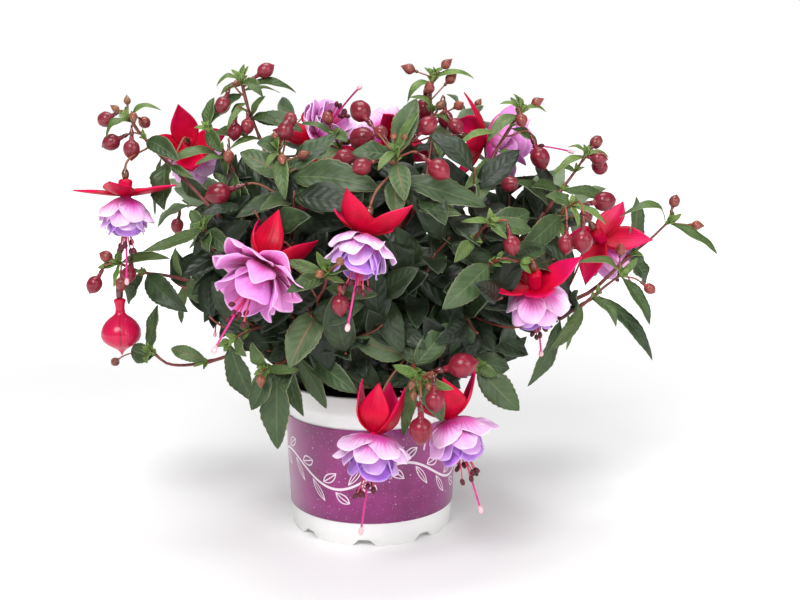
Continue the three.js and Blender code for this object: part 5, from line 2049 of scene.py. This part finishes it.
# The shoots. A stem's point is a column, a row and a depth. Leaves and tufts are rows of SeenLeaf,
# buds and beads are rows of SeenBud. The hidden ones have millimetres instead of pixels.
SHOOTS = (
    seen_shoot(
        "shoot_left_top", 0,
        stem=((215, 212, -35), (186, 180, -30), (162, 157, -25), (143, 136, -20), (128, 117, -18)),
        leaves=(
            (0.97, 161, 111, -18, 8, 8, 0), (0.95, 105, 138, -25, 10, 8, 0.3),
            (0.78, 179, 161, -45, 19, 3, 0.6), (0.55, 164, 210, -40, 29, 3, 0.9),
            (0.52, 222, 159, -8, 14, 9, 0.2), (0.6, 155, 216, -12, 12, 2, 0.8),
            (0.5, 194, 178, -40, 9, 2, 0.5), (0.4, 213, 200, -12, 18, 2, 0.9),
        ),
        buds=(
            (0.88, 106, 119, -8, 7.8, 0.4), (0.84, 111, 143, -20, 8.3, 0.15),
            (0.84, 132, 150, -30, 8.7, 0.9), (0.93, 145, 123, -4, 6, 0.3), (0.97, 134, 117, -26, 4.5, 0.5),
        ),
        beads=((1, 127, 100, -15, 3.8, 0), (0.99, 115, 109, -18, 3.8, 0)),
    ),
    seen_shoot(
        "shoot_left_tall", 7,
        stem=((283, 200, -10), (270, 165, -10), (257, 133, -8), (248, 108, -5), (240, 78, 0)),
        leaves=(
            (0.98, 217, 87, -5, 7, 6, 0), (0.96, 264, 97, -15, 13, 6, 0.5), (0.93, 296, 92, 5, 12, 6, 0.3),
            (0.9, 280, 93, 20, 9, 3, 0.3), (0.8, 231, 120, -12, 8, 3, 0.4), (0.95, 225, 97, -8, 9, 3, 0.5),
            (0.68, 277, 125, -14, 13, 3, 0.7), (0.88, 206, 129, -15, 17, 6, 0.4),
            (0.7, 227, 142, -25, 9, 9, 0.1), (0.66, 302, 127, -10, 22, 4, 0.6),
            (0.68, 266, 96, -12, 12, 2, 0.7), (0.5, 232, 138, -25, 9, 4, 0.2),
        ),
        tufts=((1, 248, 65, 0, 5, 0, 0.8),),
        buds=(
            (0.92, 265, 70, 0, 7.8, 0.1), (0.86, 222, 105, -14, 8, 0.6), (0.74, 234, 131, -20, 8, 0.8),
            (0.7, 247, 126, -18, 7, 0.7),
        ),
        beads=((0.93, 236, 83, -8, 3, 0.3),),
    ),
    seen_shoot(
        "shoot_left_inner", 1,
        stem=((240, 190, -30), (228, 160, -22), (216, 141, -18), (207, 130, -15)),
        leaves=(
            (1, 214, 98, -10, 14, 2, 0.8), (1, 222, 152, -28, 14, 2, 0.8), (0.9, 250, 128, -12, 14, 3, 0.5),
            (0.5, 195, 165, -40, 10, 3, 0.4), (0.32, 240, 226, -46, 17, 3, 0.9),
            (0.62, 222, 185, -40, 16, 2, 0.9), (0.2, 259, 231, -42, 20, 3, 0.9),
        ),
        buds=((0.38, 229, 156, -40, 5.8, 0.9),),
    ),
    seen_shoot(
        "shoot_upper_left", 1,
        stem=((292, 235, -70), (291, 205, -75), (288, 177, -78), (279, 150, -80)),
        leaves=(
            (0.97, 286, 201, -97, 16, 5, 0.8), (1, 257, 143, -85, 18, 2, 0.8),
            (1, 264, 168, -94, 8, 2, 0.6), (0.72, 337, 139, -58, 24, 4, 0.6),
            (0.68, 381, 190, -98, 36, 5, 0.7), (0.55, 323, 214, -102, 18, 2, 0.8),
            (0.66, 239, 152, -70, 24, 4, 0.7), (0.5, 236, 217, -92, 20, 3, 0.8),
            (0.4, 256, 222, -100, 20, 3, 0.9),
        ),
        buds=(
            (0.98, 285, 131, -80, 8.7, 0), (0.88, 275, 138, -76, 4.5, 0), (0.97, 283, 160, -90, 5, 0.3),
            (0.86, 303, 154, -78, 5, 0), (0.74, 345, 157, -74, 9.4, 0.1), (0.9, 291, 119, -68, 7, 0),
            (0.5, 302, 203, -72, 11, 1), (0.42, 219, 194, -84, 11, 0.3),
        ),
    ),
    seen_shoot(
        "shoot_top_middle", 7,
        stem=((352, 195, -20), (345, 165, -22), (336, 138, -24)),
        leaves=(
            (1, 349, 147, -34, 14, 3, 0.8), (1, 299, 124, -20, 8, 6, 0), (0.8, 318, 165, -45, 16, 3, 0.6),
        ),
        buds=((1, 328, 118, -22, 6, 0), (0.75, 363, 139, -36, 12, 0.2)),
    ),
    seen_shoot(
        "shoot_middle", 2,
        stem=((398, 255, -75), (399, 215, -85), (398, 180, -92), (396, 150, -95)),
        leaves=(
            (0.97, 417, 101, -85, 25, 3, 0.8), (1, 419, 111, -98, 9, 2, 0.8),
            (0.93, 351, 154, -102, 24, 4, 0.5), (1, 377, 171, -110, 9, 1, 0.7),
            (0.9, 404, 201, -114, 21, 3, 0.9), (0.78, 397, 224, -108, 22, 3, 0.9),
            (0.75, 487, 206, -92, 28, 4, 0.6), (0.6, 462, 212, -100, 20, 2, 0.7),
        ),
        buds=(
            (0.96, 427, 126, -88, 9.5, 0), (0.95, 439, 169, -106, 10.5, 0.3),
            (0.95, 361, 111, -68, 10.5, 0), (0.88, 361, 167, -112, 9, 0.2), (0.97, 380, 133, -78, 7, 0),
        ),
        beads=((1, 395, 137, -94, 3.8, 0), (1, 404, 137, -97, 3.8, 0)),
    ),
    seen_shoot(
        "shoot_top", 7,
        stem=((425, 185, -20), (430, 150, -10), (433, 118, -5), (431, 97, 0), (434, 76, 0)),
        leaves=(
            (0.97, 475, 78, 0, 8, 6, 0), (0.93, 408, 102, -5, 9, 8, 0.2), (0.66, 409, 98, -10, 9, 6, 0),
            (0.62, 457, 133, -15, 8, 8, 0), (0.55, 440, 159, -22, 14, 3, 0.8),
        ),
        tufts=((1, 425, 67, 0, 4, 0, 0.5),),
        buds=(
            (0.98, 409, 69, 0, 5.5, 0), (1, 446, 64, 0, 5, 0), (0.78, 451, 79, 0, 5.5, 0),
            (0.75, 430, 88, -9, 5.5, 0), (0.62, 440, 105, -9, 4.5, 0), (0.6, 458, 105, -24, 5, 0),
            (0.62, 424, 110, 9, 10, 0.8), (0.58, 445, 119, 9, 8, 0.9), (0.5, 455, 127, -27, 8, 0.5),
        ),
    ),
    seen_shoot(
        "shoot_upper_right", 3,
        stem=((476, 215, -40), (487, 175, -38), (497, 150, -35), (508, 131, -32), (521, 111, -30)),
        leaves=(
            (0.95, 487, 143, -45, 13, 7, 0.3), (0.72, 451, 152, -55, 9, 9, 0),
            (0.82, 541, 143, -30, 12, 4, 0.3), (1, 511, 97, -25, 7, 1, 0.6), (1, 526, 98, -30, 7, 1, 0.6),
            (0.58, 517, 153, -52, 9, 1, 0.6), (0.52, 463, 189, -68, 16, 3, 0.8),
            (0.46, 479, 203, -68, 20, 3, 0.9),
        ),
        tufts=((1, 499, 104, -30, 6, 3, 0), (1, 546, 112, -30, 6, 4, 0)),
        buds=(
            (1, 537, 103, -30, 5, 0), (0.93, 521, 120, -38, 6, 0.6), (0.74, 540, 158, -36, 9.8, 0.6),
            (0.25, 510, 183, -62, 8.5, 0),
        ),
    ),
    seen_shoot(
        "shoot_right_upper", 4,
        stem=((545, 212, -25), (560, 192, -25), (572, 176, -22), (586, 155, -20)),
        leaves=(
            (0.95, 553, 176, -32, 9, 7, 0.1), (0.72, 560, 167, -30, 8, 2, 0.5),
            (0.35, 532, 187, -45, 15, 3, 0.5), (0.38, 612, 199, -15, 14, 4, 0.4),
            (0.1, 514, 181, -46, 15, 3, 0.6),
        ),
        tufts=((1, 567, 147, -20, 5, 4, 0), (1, 606, 153, -15, 5, 4, 0)),
        buds=((1, 596, 142, -15, 6.5, 0), (0.95, 598, 158, -20, 7.3, 0.1), (0.88, 600, 167, -8, 8, 0.3)),
    ),
    seen_shoot(
        "shoot_right_middle", 4,
        stem=((530, 240, -35), (552, 222, -40), (571, 206, -42)),
        leaves=(
            (1, 546, 196, -50, 14, 3, 0.6), (1, 605, 224, -46, 9, 4, 0.3), (1, 578, 227, -54, 7, 2, 0.8),
            (0.6, 563, 238, -54, 10, 2, 0.8), (0.75, 519, 253, -80, 24, 3, 0.8),
        ),
        buds=((1, 604, 202, -34, 10.3, 0), (0.72, 566, 244, -80, 8.7, 1), (0.76, 583, 242, -84, 10, 1)),
    ),
    seen_shoot(
        "shoot_right_far", 4,
        stem=((598, 286, -5), (632, 254, 0), (650, 239, 0), (667, 223, 0)),
        leaves=(
            (0.5, 637, 197, 14, 25, 2, 0.9), (0.46, 641, 284, 10, 24, 2, 0.9),
            (0.97, 620, 217, -12, 11, 15, 0), (1, 718, 254, 0, 12, 6, 0.3),
        ),
        tufts=((1, 681, 213, 0, 6, 0, 0.6),),
        buds=((1, 675, 202, 0, 5.5, 0), (1, 697, 226, 2, 5, 0)),
    ),
    seen_shoot(
        "shoot_right_low", 4,
        stem=((558, 320, -25), (590, 300, -25), (605, 287, -22), (620, 275, -20)),
        leaves=(
            (1, 576, 263, -38, 11, 9, 0.1), (1, 638, 258, -22, 8, 2, 0.5), (1, 650, 325, -22, 16, 6, 0.6),
            (0.5, 616, 327, -34, 13, 8, 0.6), (0.6, 652, 361, -12, 16, 7, 0.6),
            (0.38, 547, 351, -52, 14, 4, 0.5), (0.15, 566, 350, -12, 8, 2, 0.7),
            (0.05, 527, 387, -46, 19, 2, 0.8),
        ),
        buds=((1, 649, 288, -18, 5.5, 0.2), (0.98, 620, 250, -30, 5.5, 0)),
    ),
    seen_shoot(
        "shoot_right_inner", 3,
        stem=((455, 285, -60), (468, 252, -80), (479, 233, -90), (490, 221, -95)),
        leaves=(
            (1, 533, 231, -88, 18, 3, 0.8), (0.93, 530, 212, -72, 24, 3, 0.7),
            (1, 507, 238, -104, 9, 1, 0.8), (1, 461, 222, -98, 7, 3, 0.4),
            (0.7, 455, 262, -108, 14, 2, 0.9),
        ),
        buds=((1, 512, 245, -100, 8.8, 0.7),),
    ),
    seen_shoot(
        "shoot_right_front", 3,
        stem=((457, 300, -55), (478, 275, -82), (500, 258, -98), (520, 262, -98)),
        leaves=((0.72, 442, 309, -118, 30, 3, 0.9), (0.8, 548, 247, -72, 20, 3, 0.6)),
    ),
    seen_shoot(
        "shoot_front_low", 2,
        stem=((405, 318, -60), (410, 345, -86), (414, 365, -103), (419, 378, -110)),
        leaves=(
            (0.85, 448, 322, -96, 25, 2, 0.9), (0.83, 407, 333, -98, 21, 2, 0.9),
            (0.7, 351, 339, -92, 24, 2, 0.8), (1, 393, 366, -114, 11, 1, 0.9),
            (1, 453, 389, -114, 10, 1, 0.7), (0.95, 443, 421, -108, 20, 2, 0.9),
            (0.9, 403, 437, -92, 14, 2, 0.9),
        ),
        buds=(
            (0.97, 463, 366, -110, 12.8, 0), (1, 434, 401, -121, 10, 0.9), (1, 420, 431, -126, 12.3, 1),
            (1, 431, 376, -114, 4.5, 0),
        ),
        beads=((1, 412, 386, -117, 4, 0.4), (1, 413, 396, -117, 4, 0.8), (1, 430, 388, -118, 4, 0.6)),
    ),
    seen_shoot(
        "shoot_front_left", 2,
        stem=((332, 335, -78), (318, 303, -100), (324, 286, -112), (328, 273, -118)),
        leaves=(
            (0.95, 284, 295, -128, 17, 3, 0.8), (1, 316, 252, -121, 8, 1, 0.7),
            (1, 345, 283, -130, 8, 1, 0.7), (0.97, 364, 266, -130, 11, 5, 0.3),
            (0.93, 285, 261, -114, 14, 2, 0.7), (0.45, 289, 367, -120, 34, 2, 0.95),
            (0.8, 378, 295, -110, 18, 2, 0.7),
        ),
        buds=(
            (1, 320, 275, -126, 4.5, 0.2), (1, 341, 262, -152, 4.5, 0), (0.98, 341, 288, -124, 4.5, 0.6),
            (0.92, 340, 305, -120, 9.5, 1),
        ),
    ),
    seen_shoot(
        "shoot_right_base", 3,
        stem=((440, 345, -38), (460, 350, -58), (475, 366, -72)),
        leaves=(
            (1, 519, 411, -74, 30, 3, 0.8), (0.85, 509, 368, -60, 24, 1, 0.7),
            (1, 497, 377, -76, 12, 3, 0.8),
        ),
    ),
    seen_shoot(
        "shoot_left_base", 1,
        stem=((312, 345, -68), (290, 358, -85), (268, 369, -98)),
        leaves=(
            (1, 299, 371, -110, 10, 1, 0.8), (1, 251, 343, -104, 14, 2, 0.8),
            (0.96, 251, 411, -98, 20, 3, 0.9), (0.8, 277, 450, -88, 30, 3, 0.9),
            (0.5, 276, 390, -106, 20, 3, 0.6), (0.25, 358, 394, -98, 25, 3, 0.8),
            (0.4, 327, 408, -80, 18, 2, 0.9), (0.6, 303, 417, -80, 16, 2, 0.9),
            (0.9, 252, 388, -106, 16, 2, 0.9),
        ),
        buds=((1, 260, 380, -106, 5, 0.9),),
    ),
    seen_shoot(
        "shoot_left", 0,
        stem=((215, 290, -30), (185, 279, -25), (160, 275, -22), (143, 272, -20), (120, 263, -20)),
        leaves=(
            (0.72, 188, 313, -42, 26, 7, 0.5), (0.74, 129, 304, -14, 18, 3, 0.7),
            (1, 170, 259, -27, 12, 4, 0.4), (1, 113, 287, -26, 7, 1, 0.8), (1, 125, 243, -20, 10, 2, 0.7),
            (0.3, 201, 303, -42, 18, 1, 0.8), (0.3, 181, 324, -18, 13, 2, 0.7),
            (0.28, 223, 303, -12, 20, 2, 0.6), (0.35, 176, 247, -34, 11, 1, 0.7),
            (0.25, 214, 251, -44, 24, 3, 0.8), (1, 97, 268, -14, 8, 1, 0.5),
        ),
        buds=(
            (1, 95, 284, -20, 8, 0.4), (0.85, 129, 274, -30, 7.5, 0.6), (0.93, 121, 284, -30, 6.3, 0.9),
            (1, 106, 256, -18, 6, 0), (0.75, 122, 335, -28, 19.5, 1),
        ),
    ),
    seen_shoot(
        "shoot_left_upper", 0,
        stem=((232, 262, -45), (215, 245, -50), (203, 228, -55)),
        leaves=(
            (0.95, 143, 252, -45, 15, -4, 0.5), (1, 190, 210, -50, 12, 2, 0.7),
            (0.9, 234, 252, -72, 18, 3, 0.8), (0.8, 213, 256, -70, 15, 3, 0.8),
            (1, 216, 208, -48, 12, 2, 0.7),
        ),
    ),
    seen_shoot(
        "shoot_left_low", 0,
        stem=((245, 350, -60), (207, 361, -50), (170, 365, -40), (151, 350, -35)),
        leaves=(
            (0.38, 171, 348, -44, 15, 9, 0.5), (1, 147, 364, -42, 11, 2, 0.8),
            (0.93, 131, 349, -28, 20, 4, 0.7), (1, 157, 304, -32, 15, 3, 0.7),
        ),
        tufts=((0.4, 194, 367, -56, 6, 2, 0.6),),
        buds=((1, 115, 362, -8, 4.5, 0.2),),
    ),
    seen_shoot(
        "shoot_left_bottom", 1,
        stem=((272, 325, -66), (248, 330, -75), (230, 343, -76)),
        leaves=(
            (1, 255, 402, -76, 27, 3, 0.8), (0.8, 246, 356, -92, 14, 2, 0.9),
            (0.5, 232, 300, -60, 18, 3, 0.6),
        ),
    ),
    hidden_shoot(
        "shoot_back_left", 6,
        stem=((-82, 60, 188), (-112, 78, 204), (-134, 92, 206)),
        buds=((1, -147, 100, 190, 5, 0.6), (0.9, -128, 102, 184, 5.2, 0.8)),
        pairs=5, leaf_length=46,
    ),
    hidden_shoot(
        "shoot_back_left_up", 6,
        stem=((-42, 66, 216), (-52, 88, 242), (-60, 100, 262)),
        buds=((1, -66, 104, 276, 2.6, 0), (1, -50, 104, 272, 2.6, 0), (0.8, -48, 118, 240, 5.2, 0.7)),
        pairs=4, leaf_length=42,
    ),
    hidden_shoot(
        "shoot_back_right_up", 7,
        stem=((30, 40, 222), (52, 66, 250), (66, 84, 266)),
        buds=((1, 76, 92, 280, 2.8, 0), (0.9, 74, 102, 256, 5.2, 0.7)),
        pairs=4, leaf_length=44,
    ),
    hidden_shoot(
        "shoot_back", 6,
        stem=((4, 84, 196), (8, 118, 214), (12, 148, 214)),
        buds=((1, 10, 166, 204, 5.4, 0.6), (0.8, 24, 140, 196, 4.8, 0.9)),
        pairs=5, leaf_length=46,
    ),
    hidden_shoot(
        "shoot_back_right", 5,
        stem=((86, 70, 190), (120, 90, 206), (146, 104, 204)),
        buds=((1, 160, 112, 196, 5, 0.4), (0.8, 134, 110, 184, 5, 0.9)),
        pairs=5, leaf_length=46,
    ),
    hidden_shoot(
        "shoot_back_low", 5,
        stem=((34, 86, 142), (48, 112, 132), (58, 126, 114)),
        buds=((1, 62, 136, 96, 5, 0.9),),
        pairs=4, leaf_length=48,
    ),
)

# The blooms. The seed case and the tube run from top to mouth. The last three are at the back, where
# both are given in millimetres.
BLOOMS = (
    Bloom("bloom_left", "shoot_left_top", 0.72,
          top=PHOTO.place(125, 168, -40), mouth=PHOTO.place(126, 198, -42),
          spin=20, lift=13, flare=42, size=1, pink=0.12, violet=0.8),
    Bloom("bloom_left_upper", "shoot_left_top", 0.5,
          top=PHOTO.place(186, 138, -2), mouth=PHOTO.place(190, 149, 14),
          spin=0, lift=45, flare=45, size=1, pink=0.3, violet=0.8),
    Bloom("bloom_top_left", "shoot_left_tall", 0.35,
          top=PHOTO.place(309, 149, 27), mouth=PHOTO.place(321, 135, 16),
          spin=0, lift=18, flare=52, size=1, pink=0.4, violet=0.1),
    Bloom("bloom_top_middle", "shoot_top", 0.45,
          top=PHOTO.place(409, 142, 22), mouth=PHOTO.place(391, 138, 38),
          spin=45, lift=45, flare=45, size=1, pink=0.25, violet=0.3),
    Bloom("bloom_top_right", "shoot_top", 0.3,
          top=PHOTO.place(457, 135, 4), mouth=PHOTO.place(486, 140, 6),
          spin=45, lift=38, flare=55, size=1.1, pink=0.85, violet=0.2),
    Bloom("bloom_front_upper", "shoot_middle", 0.86,
          top=PHOTO.place(371, 205, -117), mouth=PHOTO.place(365, 236, -123),
          spin=38, lift=42, flare=50, size=1, pink=0, violet=0.95),
    Bloom("bloom_front_left", "shoot_front_left", 0.6,
          top=PHOTO.place(277, 244, -103), mouth=PHOTO.place(264, 268, -113),
          spin=15, lift=66, flare=76, size=1.1, pink=0.8, violet=0.15),
    Bloom("bloom_right", "shoot_right_front", 1,
          top=PHOTO.place(533, 260, -93), mouth=PHOTO.place(535, 288, -83),
          spin=3, lift=26, flare=48, size=1, pink=0.3, violet=1),
    Bloom("bloom_right_far", "shoot_right_middle", 0.6,
          top=PHOTO.place(590, 222, -5), mouth=PHOTO.place(602, 241, 7),
          spin=40, lift=-8, flare=40, size=1.05, pink=0.55, violet=0.9),
    Bloom("bloom_front_low", "shoot_front_low", 0.6,
          top=PHOTO.place(381, 400, -104), mouth=PHOTO.place(376, 434, -107),
          spin=30, lift=84, flare=56, size=1.1, pink=0.08, violet=0.95),
    Bloom("bloom_front_right", "shoot_front_low", 0.9,
          top=PHOTO.place(442, 387, -93), mouth=PHOTO.place(452, 419, -95),
          spin=8, lift=54, flare=52, size=1.1, pink=0.28, violet=0.95),
    Bloom("bloom_back", "shoot_back", 0.7,
          top=(-6, 148, 192), mouth=(-8, 156, 172),
          spin=20, lift=60, flare=45, size=1, pink=0.2, violet=0.8),
    Bloom("bloom_back_left", "shoot_back_left", 0.6,
          top=(-116, 112, 168), mouth=(-119, 118, 149),
          spin=50, lift=40, flare=42, size=1, pink=0.5, violet=0.3),
    Bloom("bloom_back_right", "shoot_back_right", 0.6,
          top=(124, 120, 172), mouth=(128, 127, 152),
          spin=35, lift=55, flare=46, size=1, pink=0.1, violet=0.8),
)


# Studio


@dataclass(frozen=True)
class Lamp:
    """A soft round lamp that looks at the plant. Metres and watts."""

    name: str
    place: Spot
    size: float
    power: float
    aim: Spot = (0.02, 0, 0.18)

    def build(self) -> None:
        """Adds the lamp."""
        lamp = bpy.data.lights.new(self.name, "AREA")
        lamp.shape, lamp.size, lamp.energy = "DISK", self.size, self.power
        made = bpy.data.objects.new(self.name, lamp)
        made.location = self.place
        look = Vector(self.aim) - Vector(self.place)
        made.rotation_euler = look.to_track_quat("-Z", "Y").to_euler()
        bpy.context.scene.collection.objects.link(made)


@dataclass
class Studio:
    """The white floor and backdrop, the soft lamps and the camera."""

    lamps: tuple[Lamp, ...] = (
        Lamp("key", (-0.35, -1.2, 1.2), 0.8, 20.0),
        Lamp("fill", (0.9, -1.0, 0.7), 0.9, 8.0),
        Lamp("top", (0.0, 0.15, 1.5), 0.9, 12.0),
    )
    air_strength: float = 0.19
    floor_radius: float = 14.0
    clip_start: float = 0.02

    def build(self, palette: Palette) -> None:
        """Builds the studio.

        Args:
            palette: where its floor's finish comes from.
        """
        bpy.context.scene.view_settings.view_transform = "Standard"
        self.camera(PHOTO)
        self.floor(palette)
        for lamp in self.lamps:
            lamp.build()
        self.air()

    def camera(self, photo: PhotoCamera) -> None:
        """Adds the scene's camera.

        Args:
            photo: the photo's camera.
        """
        camera = bpy.data.objects.new("camera", bpy.data.cameras.new("camera"))
        camera.data.lens = photo.lens
        camera.data.clip_start = self.clip_start
        camera.location = Vector(photo.eye) * MM
        camera.rotation_euler = (math.pi / 2 - math.radians(photo.pitch), 0, 0)
        bpy.context.scene.collection.objects.link(camera)
        bpy.context.scene.camera = camera

    def air(self) -> None:
        """Adds soft light from all sides, with plain white behind the plant."""
        world = bpy.data.worlds.new("studio_air")
        world.use_nodes = True
        graph = Graph(world.node_tree)
        soft = graph.node("ShaderNodeBackground", {}, {"Color": WHITE, "Strength": self.air_strength})
        white = graph.node("ShaderNodeBackground", {}, {"Color": WHITE})
        seen = graph.node("ShaderNodeLightPath", {}, {}, "Is Camera Ray")
        both = graph.node("ShaderNodeMixShader", {}, {0: seen, 1: soft, 2: white})
        graph.node("ShaderNodeOutputWorld", {}, {"Surface": both})
        bpy.context.scene.world = world

    def floor(self, palette: Palette) -> None:
        """Adds the wide flat floor.

        Args:
            palette: where its finish comes from.
        """
        mesh = bmesh.new()
        bmesh.ops.create_circle(mesh, cap_ends=True, segments=96, radius=self.floor_radius)
        data = bpy.data.meshes.new("floor")
        mesh.to_mesh(data)
        mesh.free()
        data.materials.append(palette.get(Finish.FLOOR))
        made = bpy.data.objects.new("floor", data)
        bpy.context.scene.collection.objects.link(made)


def main() -> None:
    """Builds the studio and every piece of the plant, in order."""
    logging.basicConfig(level=logging.INFO, format="%(message)s")
    palette = Palette()
    Studio().build(palette)
    pot = Pot()
    pot.build(palette)
    Sleeve().build(palette, pot)
    Soil().build(palette, pot)
    branches = Branches()
    branches.build(palette, SHOOTS)
    InnerLeaves().build(palette, branches, SHOOTS)
    for number, shoot in enumerate(SHOOTS):
        shoot.build(palette, [bloom for bloom in BLOOMS if bloom.shoot == shoot.name], SHOOT_SEED + number)
    for number, bloom in enumerate(BLOOMS):
        bloom.build(palette, BLOOM_SEED + number)


if __name__ == "__main__":
    main()
